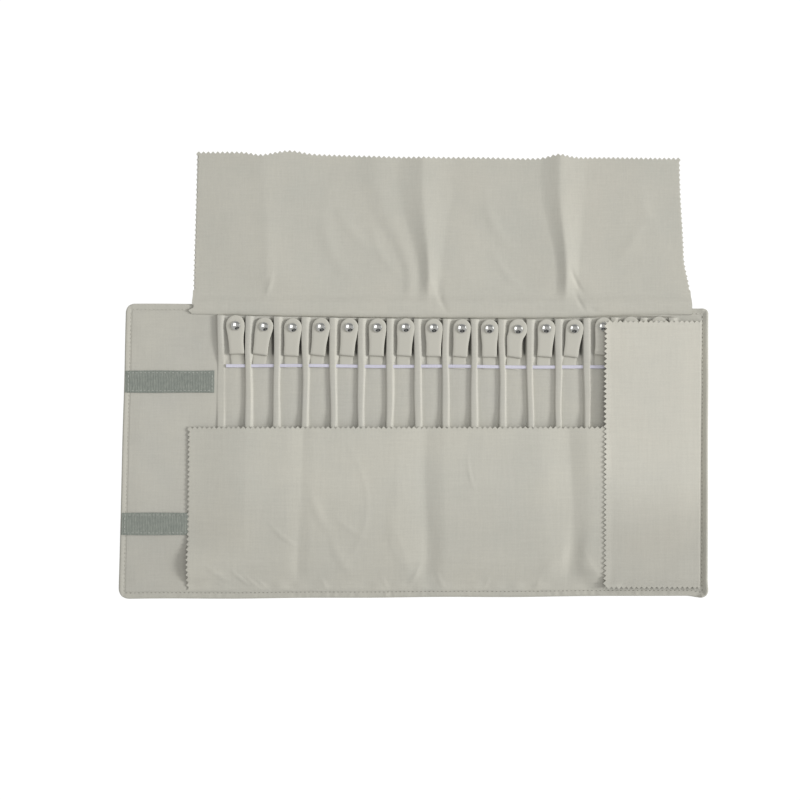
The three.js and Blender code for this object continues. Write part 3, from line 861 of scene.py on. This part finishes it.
def build_body():
    """Cover and lining, each in three lengths that meet in the middle of panels b and c."""
    all_columns, rows = body_lines()
    for span, columns in zip(SPANS, split_columns(all_columns, CUTS)):
        x, y = np.meshgrid(columns, rows)
        inset = inset_of(x, y)
        least, most = cell_limits(inset)
        placed_x, placed_y = body_place(x, y)
        wavy = 0.12 * (1 + ripple(x, y, 19, 7)) * step(inset, 3, 8)
        below = spaced(placed_x, placed_y, UNDER + rim_drop(inset) + wavy)
        above = spaced(placed_x, placed_y, hem_height(x, y))
        below_faces = [face[::-1] for face in grid_faces(*x.shape)]
        above_faces = grid_faces(*x.shape, most <= HEM + 0.5)
        cover = make_object(f"cover_{span}", *joined((below, below_faces), (above, above_faces)), COVER)
        inner = spaced(placed_x + rib_sway(x, y), placed_y, lining_height(x, y))
        lining = make_object(f"lining_{span}", inner, grid_faces(*x.shape, least >= SEWN), LINING)
        tidy_mesh(cover)
        tidy_mesh(lining)
        turn_up(lining)
        bend_at_fold(cover, span)
        bend_at_fold(lining, span)
        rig.replaces(cover, *lengths("outer_cover", span))
        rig.replaces(lining, *lengths("lining", span), *lengths("padding", span))
        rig.slot(cover, "cover_cloth")
        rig.slot(lining, "lining_cloth")
        turned = HEM + 2 * RIM
        wide = (columns[-1] - columns[0]) * MM + (0 if span == "bc" else turned) * MM
        flat = (wide, (2 * HALF_Y + 2 * turned) * MM)
        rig.sheet(cover, flat=flat, held="stretched", rests_on=[f"lining_{span}"])
        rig.padded(lining, fill=BODY_FILL)


# Flaps: pinked sheets


def toothed(low, high):
    """Even lines between two places, four to each tooth of a pinked edge."""
    teeth = max(1, round(abs(high - low) / TEETH))
    return np.linspace(low, high, 4 * teeth + 1)


def notches(count):
    """How deep each of some toothed lines is cut: 1 at a notch, 0 at a tip."""
    return np.array([1.0, 0.5, 0.0, 0.5])[np.arange(count) % 4]


def pinked_columns(low, high, joined_low, joined_high):
    """Toothed columns, with a narrow one beside each joined end, and the notch at each."""
    columns = toothed(low, high)
    notch = notches(len(columns))
    beside = 1 - 2 * JOIN / TEETH
    if joined_low:
        columns, notch = np.insert(columns, 1, low + JOIN), np.insert(notch, 1, beside)
    if joined_high:
        columns, notch = np.insert(columns, -1, high - JOIN), np.insert(notch, -1, beside)
    return columns, notch


def flap_panels(left, right):
    """Letter, pinked columns and notches of each panel of a flap."""
    limits = [left, *[fold for fold in FOLDS if left < fold < right], right]
    parts = list(zip(limits, limits[1:]))
    for index, (low, high) in enumerate(parts):
        yield PANELS[index], *pinked_columns(low, high, index > 0, index < len(parts) - 1)


def crisp_edges(made):
    """Marks a sheet's border sharp, so that its faces are evenly lit up to the edge."""
    mesh = made.data
    used = np.zeros(len(mesh.edges), int)
    for loop in mesh.loops:
        used[loop.edge_index] += 1
    for edge in mesh.edges:
        edge.use_edge_sharp = bool(used[edge.index] == 1)


def flap_piece(flap, panel, points, material, bend, flat, held, rests_on):
    """One length of a flap: a thin sheet that bends at its sewn edge, between two places."""
    name = flap.replace("flap", "flap_cloth")
    made = make_object(name, points, grid_faces(*points.shape[:2]), material)
    turn_up(made)
    crisp_edges(made)
    start, end = (tuple(np.array(place) * MM) for place in bend)
    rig.blend(made, panel, flap, start, end)
    thick = made.modifiers.new("thickness", "SOLIDIFY")
    thick.thickness = CLOTH_THICKNESS * MM
    thick.offset = 0.0
    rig.slot(made, "flap_cloth")
    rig.replaces(made, flap)
    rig.sheet(made, flat=tuple(side * MM for side in flat), held=held, rests_on=rests_on)


def top_flap_root(x):
    """The sewn edge of the top flap, which sags a little along the straps."""
    return 132.3 + 4.0 * ((x - 80) / 302) ** 2 + 1.6 * step(x, 120, 90)


def top_flap_height(x, y):
    """The flap thrown back: over the hem, down to the table, flat with three creases."""
    z = 0.5 + 4.85 * step(y, 157.5, -12.5)
    edge = 1 - np.clip((y - top_flap_root(x)) / ROLL_REACH, 0, 1)
    roll = (1.3 + 1.1 * in_lanes(x)) * (1 - np.sqrt(1 - edge**2))
    free = step(y, 143, 28)
    later = step(y, 151, 26)
    beyond = step(y, 225, 50)
    down = step(y, 170, 110)
    drift = 5.0 * step(y, 165, 120)
    for centre, rise, left_reach, right_reach, kept, echo in TOP_CREASES:
        place = centre - drift + 1.0 * np.sin((y - 150) / 21 + centre)
        left, right = (near + (far - near) * down for near, far in (left_reach, right_reach))
        tall = rise * free * (1 - (1 - kept) * beyond)
        z = z + tall * tent(x, place, left, right)
        z = z + echo * tall * ridge(x, place - 1.9 * left, 0.8 * left, 0.9 * left)
    for centre, rise, left, right in TOP_ROOFS:
        z = z + rise * later * (1 - 0.4 * beyond) * tent(x, centre - drift, left, right)
    for values in TOP_WRINKLES:
        z = z + wrinkle(x, y, *values) * step(y, 135, 6)
    calm = 1 - 0.6 * step(x, 175, 20) * step(y, 190, -20)
    slow = 0.3 * (1 + ripple(x, 0.7 * y, 13, 2)) * free * calm
    return np.maximum(z - roll + slow, 0.45)


def top_flap_edge(x):
    """Where the free edge lies: farthest at its left end, and farther at the creases."""
    slope = TOP_HIGH[1] + 4.5 - 6.3 * step(x, -230, 290)
    scallop = 2.6 * bump(x, -125, 14) - 2.6 * bump(x, -156, 12) + 3.4 * bump(x, 144, 12)
    return slope + scallop + 0.5 * ripple(x, 0, 18, 6)


def build_top_flap():
    """The flap thrown back over the top hem, in four lengths."""
    far = TOP_HIGH[1]
    seam_y = TOP_ROOT + (TOP_FLAT - TOP_ROOT) * np.linspace(0, 1, 21) ** 1.6
    rows = np.concatenate([seam_y[:-1], toothed(TOP_FLAT, far - TIP_ROW), [far]])
    pinked = slice(len(seam_y) - 1, -1)
    cut = TOOTH_DEPTH * (1 - notches(len(rows) - len(seam_y)))
    left, right = TOP_LOW[0], TOP_HIGH[0]
    for letter, columns, notch in flap_panels(left, right):
        first, last = columns[0], columns[-1]
        x, y = np.meshgrid(columns, rows)
        down = smooth((y - 150) / (far - 150))
        root = top_flap_root(x)
        y = np.where(y < TOP_FLAT, root + (y - TOP_ROOT) * (TOP_FLAT - root) / (TOP_FLAT - TOP_ROOT), y)
        if letter == "a":
            tuck = 3.2 * bump(y, 139.5, 1.8) - 2.0 * bump(y, 143.5, 1.6)
            x = x + (last - x) / (last - left) * (2.4 * down - 1.0)
            x[:, 0] -= tuck[:, 0]
        if letter == "d":
            flare = 5.8 * step(y, 155, 40) + 3.0 * step(y, 190, 90) - 2.0
            x = x - (x - first) / (right - first) * flare
        edge = top_flap_edge(x)
        y = np.where(y > TOP_FLAT, TOP_FLAT + (y - TOP_FLAT) * (edge - TOP_FLAT) / (far - TOP_FLAT), y)
        y[-1] -= TOOTH_DEPTH * notch
        if letter == "a":
            x[pinked, 0] += cut
        if letter == "d":
            x[pinked, -1] -= cut
        bend = ((0, TOP_ROOT + 1, 0), (0, TOP_HINGE_Y + 6.2, 0))
        points = spaced(x, y, top_flap_height(x, y))
        flat = (last - first, far - TOP_ROOT)
        under = resting_on("cover", letter)
        flap_piece(f"top_flap_{letter}", f"panel_{letter}", points, FLAP, bend, flat, "laid", under)


def bottom_flap_height(x, y):
    """The flap folded in: up from the hem, over the dividers, sagging at folds, down to the tab."""
    root = 3.25 + 0.75 * step(y, BOTTOM_ROOT + 0.5, 1.9)
    reach = 32 - 11 * step(x, 158, 20)
    lift = step(y, BOTTOM_ROOT + 1.0, reach)
    over = 5.0 * lift
    on_tab = 0.35 * lift + 5.2 * bump(y, -112, 19) * step(y, BOTTOM_ROOT + 1, 16) + 0.2 * bump(y, -5, 22)
    climb = np.clip((x - BOTTOM_LOW[0] + 2) / 62, 0, 1)
    z = root + on_tab + (over - on_tab) * (0.6 * climb + 0.4 * smooth(climb))
    inner = step(y, BOTTOM_ROOT + 4, 20)
    narrow = 1 - 0.3 * step(y, -60, -60)
    for centre, depth, low_depth, left, right in BOTTOM_VALLEYS:
        place = centre + 1.8 * np.sin((y + 40) / 31 + centre) - 2.0 * step(y, -70, -50)
        uneven = 0.85 + 0.15 * np.sin(y / 23 + centre)
        z = z - depth * uneven * inner * tent(x, place, left * narrow, right)
        z = z - low_depth * bump(y, -100, 24) * inner * ridge(x, place + 4, 13, 12)
    for values in BOTTOM_WRINKLES:
        z = z + wrinkle(x, y, *values) * step(y, BOTTOM_ROOT, 6)
    slow = 0.11 * (1 + ripple(x, 0.8 * y, 10, 8)) * inner
    pucker = 0.28 * ripple(x, 0, 3.1, 4) * bump(y, BOTTOM_ROOT + 6, 4.0)
    return np.minimum(z + slow + pucker, BOTTOM_HIGHEST)


def build_bottom_flap():
    """The flap folded in over the lanes, in four lengths."""
    near, far = BOTTOM_ROOT, BOTTOM_HIGH[1]
    seam_y = np.linspace(near, BOTTOM_FLAT, 18)
    rows = np.concatenate([seam_y[:-1], toothed(BOTTOM_FLAT, far - TIP_ROW), [far]])
    left, right = BOTTOM_LOW[0], BOTTOM_HIGH[0]
    for letter, columns, notch in flap_panels(left, right):
        first, last = columns[0], columns[-1]
        x, y = np.meshgrid(columns, rows)
        y[-1] -= TOOTH_DEPTH * notch
        if letter == "a":
            x = x + (last - x) / (last - left) * 1.7
            x[1:-1, 0] += TOOTH_DEPTH * (1 - notches(len(rows) - 2))
        bend = ((0, near + 1.0, 0), (0, near + 9, 0))
        points = spaced(x, y, bottom_flap_height(x, y))
        flat = (last - first, far - near)
        under = resting_on("lining", letter)
        flap_piece(f"bottom_flap_{letter}", f"panel_{letter}", points, BOTTOM, bend, flat, "folded", under)


def right_seam(y):
    """Where the end flap's seam runs, a little aslant like the hem beside it."""
    return RIGHT_HIGH[0] - 1.6 + right_lean(y)


def right_flap_height(x, y):
    """The end flap folded in: up at its seam, level over dividers and snaps, down at its lower end."""
    edge = RIGHT_LOW[0] - 3.0
    drop = 2.2 * step(y, -125, -11) * step(x, edge + 5, 16)
    corner = 1.0 * step(y, -112, -22) * step(x, edge + 14, -12)
    high = 9.6 + 1.0 * step(y, 72, 28) - drop - corner
    high = high + 0.16 * ripple(x, y, 27, 3) - 0.5 * step(x, 258, 24)
    z = RIGHT_FOOT + (high - RIGHT_FOOT) * step(x, right_seam(y), -RIGHT_WALL)
    lifted = 0.5 + 0.25 * ripple(y, 0, 9, 5) + 0.35 * step(y, -95, -30)
    return z + lifted * step(x, edge + 9, -9)


def build_right_flap():
    """The flap folded in over the last lanes and the bottom flap's end."""
    (left, low, _), (right, high, _) = RIGHT_LOW, RIGHT_HIGH
    wall = right - np.array([1.0, 0.85, 0.7, 0.5, 0.3, 0.15, 0.0])
    teeth = toothed(left + TIP_ROW, right - 2.6)
    columns = np.concatenate([[left], teeth, wall])
    rows = np.concatenate([[low], toothed(low + TIP_ROW, high - TIP_ROW), [high]])
    x, y = np.meshgrid(columns, rows)
    lean = (right - x) / (right - left)
    x = x + lean * (-4.2 + 3.0 * (y - low) / (high - low)) + (1 - lean) * (right_seam(y) - right)
    x[1:-1, 0] += 1.25 * TOOTH_DEPTH * notches(len(rows) - 2)
    pinked = slice(1, len(teeth) + 1)
    y[0, pinked] += TOOTH_DEPTH * notches(len(teeth))
    y[-1, pinked] -= TOOTH_DEPTH * notches(len(teeth))
    seam = right_seam(0.0) - 0.6
    bend = ((seam, 0, 0), (seam - RIGHT_BEND, RIGHT_BEND * right_lean(1.0), 0))
    points = spaced(x, y, right_flap_height(x, y))
    flat = (right - left, high - low)
    under = ["lining_cd", "bottom_flap_cloth_d"]
    flap_piece("right_flap", "panel_d", points, RIGHT, bend, flat, "folded", under)


# Straps and snaps


def snap_place(lane):
    """Where a snap sits: pulled from its place in the frame to the divider on its right."""
    return LANE_X[lane] + ASIDE.get(lane, USUAL_ASIDE), CAP_Y + ALONG.get(lane, 0.0)


def strap_section(half, thick):
    """Outline across the strap: flat faces with full round edges."""
    radius = thick / 2
    flat = np.maximum(half - radius, 0.0)
    angles = np.radians([-90, -50, 0, 50, 90])
    right = [(flat + radius * cos(a) * min(1.0, half / radius), radius * sin(a)) for a in angles]
    left = [(-x, z) for x, z in right[::-1]]
    top = [(flat * s, radius + 0.04) for s in (0.6, 0.0, -0.6)]
    bottom = [(flat * s, -radius) for s in (-0.6, 0.0, 0.6)]
    return np.array(right + top + left + bottom)


def strap_route():
    """Stations of back leaf, fold and front leaf: y, z, direction, half width and thickness."""
    radius = (LEAF_Z - BACK_Z) / 2
    fold_y, fold_z = FOLD_EDGE + radius + STRAP_THICK / 2, (LEAF_Z + BACK_Z) / 2
    stations = [(y, BACK_Z, pi, BACK_HALF, BACK_THICK) for y in np.linspace(CAP_Y + 6, fold_y + 2, 6)]
    for angle in np.linspace(0, pi, 9):
        share = angle / pi
        half = BACK_HALF + (NECK - BACK_HALF) * float(smooth(2 * share))
        thick = BACK_THICK + (STRAP_THICK - BACK_THICK) * share
        y, z = fold_y - radius * sin(angle), fold_z - radius * cos(angle)
        stations.append((y, z, pi - angle, half, thick))
    for y in np.linspace(fold_y, HEAD_Y, 13)[1:]:
        arch = 0.3 * sin(pi * (y - fold_y) / (CAP_Y - fold_y))
        half = NECK + (HEAD - NECK) * float(step(y, HEAD_Y - 20, 20))
        stations.append((y, LEAF_Z + arch, 0.0, half, STRAP_THICK))
    for angle in HEAD_ANGLES:
        stations.append((HEAD_Y + HEAD * sin(angle), LEAF_Z, 0.0, HEAD * cos(angle), STRAP_THICK))
    return stations


def leaned(points, lane):
    """Points of a strap bowed, turned about its snap and shifted with it, as the worn ones lie."""
    angle = -radians(LEAN.get(lane, 0.0))
    place_x, place_y = snap_place(lane)
    x, y = points[..., 0] - LANE_X[lane], points[..., 1] - CAP_Y
    wider = WIDER.get(lane, 0.0) * step(y, -10, 10)
    bow = BOW.get(lane, 0.0) * step(y, -2, -8) * step(y, -30, 20)
    x = np.where(x < 0, x * (1 + wider), x) - bow
    y = np.where(y > 0, y * (1 + wider), y)
    turned_x = place_x + x * cos(angle) - y * sin(angle)
    turned_y = place_y + x * sin(angle) + y * cos(angle)
    return spaced(turned_x, turned_y, points[..., 2])


def strap_part(name, lane, stations):
    """A part of one lane's strap through some stations."""
    rings = []
    for y, z, direction, half, thick in stations:
        across, up = strap_section(half, min(thick, 2 * half)).T
        turned = y - up * sin(direction), z + up * cos(direction)
        rings.append(spaced(LANE_X[lane] + across, *turned))
    return tube(name, leaned(np.array(rings), lane), STRAP)


def cap_profile():
    """A low domed cap with a rolled rim."""
    base = STRAP_TOP - 0.05
    rim = 1.04 * CAP_RADIUS
    reach = 0.95 * rim
    height = CAP_BULGE * reach
    foot = CAP_TOP - height
    ball = (reach**2 + height**2) / (2 * height)
    widest = asin(reach / ball)
    profile = [(AXIS, CAP_TOP)]
    for share in np.linspace(0, 1, 13)[1:]:
        profile.append((ball * sin(widest * share), CAP_TOP - ball * (1 - cos(widest * share))))
    profile += [(0.98 * rim, foot - 0.15), (rim, foot - 0.4), (rim, base + 0.35), (0.99 * rim, base + 0.1)]
    return profile + [(0.93 * rim, base), (AXIS, base)]


def build_straps():
    """Leaf, snap, stud and tongue of every lane."""
    tongue = [(y, BACK_Z + lift, 0.0, half, TAIL_THICK) for y, half, lift in TAIL]
    for lane in LANES:
        strap = f"strap_{lane:02d}"
        panel = panel_of(LANE_X[lane])
        centre = snap_place(lane)
        leaf = strap_part(f"{strap}_leaf", lane, strap_route())
        dome = lathe(cap_profile(), 0.0, centre)
        socket = lathe(SOCKET, STRAP_TOP - STRAP_THICK, centre)
        cap = make_object(f"{strap}_snap", *joined(dome, socket), METAL)
        post = make_object(f"{strap}_stud", *lathe(STUD, BACK_Z + BACK_THICK / 2, centre, 24), METAL)
        for piece in (cap, post):
            tidy_mesh(piece)
        tail = strap_part(f"{strap}_tail", lane, tongue)
        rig.ride(post, panel)
        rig.ride(tail, panel)
        if lane in MOVING:
            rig.blend(leaf, panel, strap, (0, 0, (BACK_Z + 0.5) * MM), (0, 0, (LEAF_Z - 0.6) * MM))
            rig.ride(cap, strap)
            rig.replaces(leaf, f"snap_{strap}")
        else:
            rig.ride(leaf, panel)
            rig.ride(cap, panel)
        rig.replaces(cap, f"snap_cap_{lane:02d}")
        for piece in (leaf, tail):
            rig.slot(piece, "strap_hide")
        for piece in (cap, post):
            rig.slot(piece, "snap_metal")


# Elastic, tapes and stitches


def build_elastic():
    """The elastic across all lanes, a little aslant and wavy, in three lengths with crisp ends."""
    lines = [np.arange(RIBS[0] + 5.5, RIBS[-1] + 0.1, 4.0), CUTS, [RIBS[-1]], *fold_lines(1.4)]
    section = np.insert(strap_section(ELASTIC_HALF, ELASTIC_THICK), 0, 0.0, axis=1)
    for span, x in zip(SPANS, split_columns(thin_out(lines, 0.1), CUTS)):
        y = ELASTIC_Y - 0.3 - 0.0045 * x + 0.3 * np.sin(x / 23)
        z = FLOOR + ELASTIC_LIFT + 0.12 * np.sin(x / 9)
        made = tube(f"elastic_{span}", spaced(x, y, z)[:, None] + section, ELASTIC, True)
        mesh = made.data
        flat = {key for polygon in mesh.polygons if not polygon.use_smooth for key in polygon.edge_keys}
        for edge in mesh.edges:
            edge.use_edge_sharp = edge.key in flat
        bend_at_fold(made, span)
        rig.replaces(made, *lengths("elastic", span))
        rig.slot(made, "elastic_web")


def aslant(x, y):
    """Places on the tab are pulled aside with its slanted end."""
    return x + step(-x, *END_PULL) * left_lean(y)


def tape_lines(low, high, gap):
    """Lines along one side of a tape, close together at its two edges."""
    edge = np.array([0, 0.25, 0.7])
    return thin_out([low + edge, high - edge, np.arange(low + 2, high - 1, gap)], 0.1)


def tape_mesh(name, low, high, material, face_up):
    """A tape: a thin slab with soft edges and a slightly uneven outline."""
    x, y = np.meshgrid(tape_lines(low[0], high[0], 2.2), tape_lines(low[1], high[1], 1.6))
    inset = np.minimum(np.minimum(x - low[0], high[0] - x), np.minimum(y - low[1], high[1] - y))
    swell = TAPE_SWELL * np.sqrt(np.clip(inset / 0.7, 0, 1)) - 0.1 * bump(inset, 2.4, 0.6)
    wavy = 0.35 * np.sin(x / 11) * np.sign(y - (low[1] + high[1]) / 2) * smooth(2 - inset)
    outer = (high[2] - TAPE_SWELL + swell) if face_up else (low[2] + TAPE_SWELL - swell)
    inner = np.full_like(x, low[2] if face_up else high[2])
    first, second = (spaced(aslant(x, y), y + 0.4 * wavy, z) for z in (outer, inner))
    quads = grid_faces(*x.shape)
    points, faces = joined((first, quads), (second, [face[::-1] for face in quads]))
    index = np.arange(x.size).reshape(x.shape)
    border = np.concatenate([index[0], index[1:, -1], index[-1, -2::-1], index[-2:0:-1, 0]]).tolist()
    for here, there in zip(border, border[1:] + border[:1]):
        faces.append([here, here + x.size, there + x.size, there])
    made = make_object(name, points, faces, material)
    tidy_mesh(made)
    return made


def spindle(start, end, radius, wide):
    """One stitch between two places, thick in the middle and sunk at its ends."""
    along = (end - start) / np.linalg.norm(end - start)
    across = np.cross(along, (0, 0, 1.0))
    up = np.cross(across, along)
    points, faces = [], []
    for t, share, lift in SPINDLE:
        middle = start + (end - start) * t + up * lift * radius
        for a in 2 * pi * np.arange(SPINDLE_SIDES) / SPINDLE_SIDES:
            points.append(middle + wide * share * (cos(a) * across + sin(a) * up))
    for ring in range(0, SPINDLE_SIDES * (len(SPINDLE) - 1), SPINDLE_SIDES):
        for side in range(SPINDLE_SIDES):
            a, b = ring + side, ring + (side + 1) % SPINDLE_SIDES
            faces.append((a, b, b + SPINDLE_SIDES, a + SPINDLE_SIDES))
    return points, faces


def stitches(path, pitch, length, radius):
    """Small spindles of thread laid end to end along a path."""
    path = np.array(path, float)
    run = np.concatenate([[0], np.cumsum(np.linalg.norm(np.diff(path, axis=0), axis=1))])
    for number, centre in enumerate(np.arange(pitch / 2, run[-1], pitch)):
        places = (centre - length / 2, centre + length / 2)
        start, end = np.stack([np.interp(places, run, path[:, axis]) for axis in range(3)], axis=-1)
        if np.linalg.norm(end - start) >= 0.2 * length:
            yield spindle(start, end, radius, radius * (1 + 0.12 * sin(2.3 * number)))


def stitch_rows(name, paths, material, sizes):
    """Several rows of stitches as one piece."""
    return make_object(name, *joined(*[one for path in paths for one in stitches(path, **sizes)]), material)


def build_hem_stitches():
    """Stitches at the hem's inner edge, in lengths like the cover's: pale, but dark where it is shaded."""
    left, right, low, high = -HALF_X + SEWN, HALF_X - SEWN, -HALF_Y + SEWN, HALF_Y - SEWN
    xs, ys = np.arange(left, right + 0.1, 2.0), np.arange(low, high + 0.1, 2.0)
    pale = [[(x, high) for x in xs], [(left, y) for y in ys]]
    dark = [[(x, low) for x in xs], [(right, y) for y in ys]]
    limits = [-np.inf, *CUTS, np.inf]
    for tone, thread, rows in (("pale", HEM_THREAD, pale), ("dark", SHADED_HEM_THREAD, dark)):
        for span, start, end in zip(SPANS, limits, limits[1:]):
            paths = []
            for row in rows:
                square = np.array([place for place in row if start <= place[0] < end])
                if len(square) < 3:
                    continue
                x, y = square.T
                paths.append(spaced(*body_place(x, y), hem_height(x, y) + 0.1))
            made = stitch_rows(f"hem_stitches_{tone}_{span}", paths, thread, HEM_STITCH)
            bend_at_fold(made, span)
            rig.slot(made, "cover_cloth")


def build_tapes():
    """Two loop tapes with their stitches on the tab, and two hook tapes on the outside."""
    for where in ("upper", "lower"):
        low, high = node_box(f"loop_tape_{where}")
        tape = tape_mesh(f"loop_tape_{where}_face", low, high, LOOP, True)
        top = high[2] + 0.05
        seams = (low[1] + TAPE_SEAM, high[1] - TAPE_SEAM)
        xs, ys = np.arange(low[0] + 1.5, high[0] - 1, 2.0), np.arange(seams[0], seams[1] + 0.1, 2.0)
        rows = [[(aslant(x, y), y, top) for x in xs] for y in seams]
        rows += [[(aslant(x, y), y, top) for y in ys] for x in (low[0] + 3.2, high[0] - TAPE_SEAM)]
        sewn = stitch_rows(f"loop_tape_{where}_stitches", rows, TAPE_THREAD, TAPE_STITCH)
        hook_low, hook_high = node_box(f"hook_tape_{where}")
        hook = tape_mesh(f"hook_tape_{where}_face", hook_low, hook_high + np.array([0, 0, 0.15]), HOOK, False)
        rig.replaces(tape, f"loop_tape_{where}")
        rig.replaces(hook, f"hook_tape_{where}")
        for piece in (tape, sewn):
            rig.ride(piece, "panel_a")
            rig.slot(piece, "loop_tape")
        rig.ride(hook, "panel_c")
        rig.slot(hook, "hook_tape")


# Stage: floor, cards, light and camera


def build_floor():
    """A plain pale floor that the camera and the snaps see as white."""
    look = Look(bpy.data.materials.new("floor_white"))
    ray = look.node("LightPath")
    seen = look.maths("MAXIMUM", ray.outputs["Is Camera Ray"], ray.outputs["Is Glossy Ray"])
    glow = look.node("Emission", Color=WHITE, Strength=FLOOR_GLOW)
    mix = look.node("MixShader", Fac=look.maths("MULTIPLY", seen, FLOOR_GLOW_SHARE))
    look.join(mix.inputs[1], look.shader.outputs["BSDF"])
    look.join(mix.inputs[2], glow.outputs["Emission"])
    look.join(look.tree.nodes["Material Output"].inputs["Surface"], mix.outputs["Shader"])
    material = look.finish(Base_Color=FLOOR_COLOUR, Roughness=0.9)
    corners = [(FLOOR_HALF * x, FLOOR_HALF * y, FLOOR_Z) for x, y in ((-1, -1), (1, -1), (1, 1), (-1, 1))]
    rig.stage(make_object("floor", corners, [(0, 1, 2, 3)], material))


def build_cards():
    """Plain cards overhead that only the snaps mirror."""
    for number, (name, (level, corners)) in enumerate(CARDS.items()):
        look = Look(bpy.data.materials.new(name))
        material = look.finish(Base_Color=BLACK, Emission_Color=WHITE, Emission_Strength=level)
        height = CARD_HEIGHT - CARD_STEP * number
        card = make_object(name, [(x, y, height) for x, y in corners], [tuple(range(len(corners)))], material)
        card.visible_camera = False
        card.visible_diffuse = False
        card.visible_shadow = False
        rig.stage(card)


def build_world():
    """Soft light from all sides, greyer in mirrors and white behind the floor."""
    look = Look(bpy.data.worlds.new("studio"), "Background")
    ray = look.node("LightPath")
    level = AMBIENT_LEVEL
    for kind, other in (("Is Glossy Ray", MIRRORED_LEVEL), ("Is Camera Ray", SEEN_LEVEL)):
        chosen = look.node("Mix")
        for index, value in ((0, ray.outputs[kind]), (2, level), (3, other)):
            look.join(chosen.inputs[index], value)
        level = chosen.outputs[0]
    bpy.context.scene.world = look.finish(Color=WORLD_COLOUR, Strength=level)


def build_lamps():
    """Lamps that point at a place and aren't seen themselves."""
    for name, kind, place, aim, values in LAMPS:
        light = bpy.data.lights.new(name, kind)
        for key, value in values.items():
            setattr(light, key, value)
        lamp = bpy.data.objects.new(name, light)
        lamp.location = place
        lamp.rotation_euler = (Vector(aim) - Vector(place)).to_track_quat("-Z", "Y").to_euler()
        lamp.visible_camera = False
        lamp.visible_glossy = False
        bpy.context.scene.collection.objects.link(lamp)


def build_camera():
    """The camera above the roll, tilted a little like the photo's."""
    camera = bpy.data.cameras.new("camera")
    camera.sensor_width = SENSOR
    camera.lens = SENSOR / 2 / (IMAGE / 2 / PIXELS_PER_MM * MM / VIEW_DISTANCE)
    holder = bpy.data.objects.new("camera", camera)
    back = Vector((0, -sin(VIEW_TILT), cos(VIEW_TILT)))
    holder.location = VIEW_CENTRE + back * VIEW_DISTANCE
    holder.rotation_mode = "QUATERNION"
    holder.rotation_quaternion = (-back).to_track_quat("-Z", "Y")
    bpy.context.scene.collection.objects.link(holder)
    bpy.context.scene.camera = holder


build_body()
build_top_flap()
build_bottom_flap()
build_right_flap()
build_straps()
build_elastic()
build_tapes()
build_hem_stitches()

bpy.context.scene.view_settings.view_transform = "Standard"
build_floor()
build_cards()
build_world()
build_lamps()
build_camera()

visual_low, visual_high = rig.bounds()
with open("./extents.json", "w") as handle:
    boxes = {"cad": [list(cad_low), list(cad_high)], "visual": [list(visual_low), list(visual_high)]}
    json.dump(boxes, handle, indent=1)
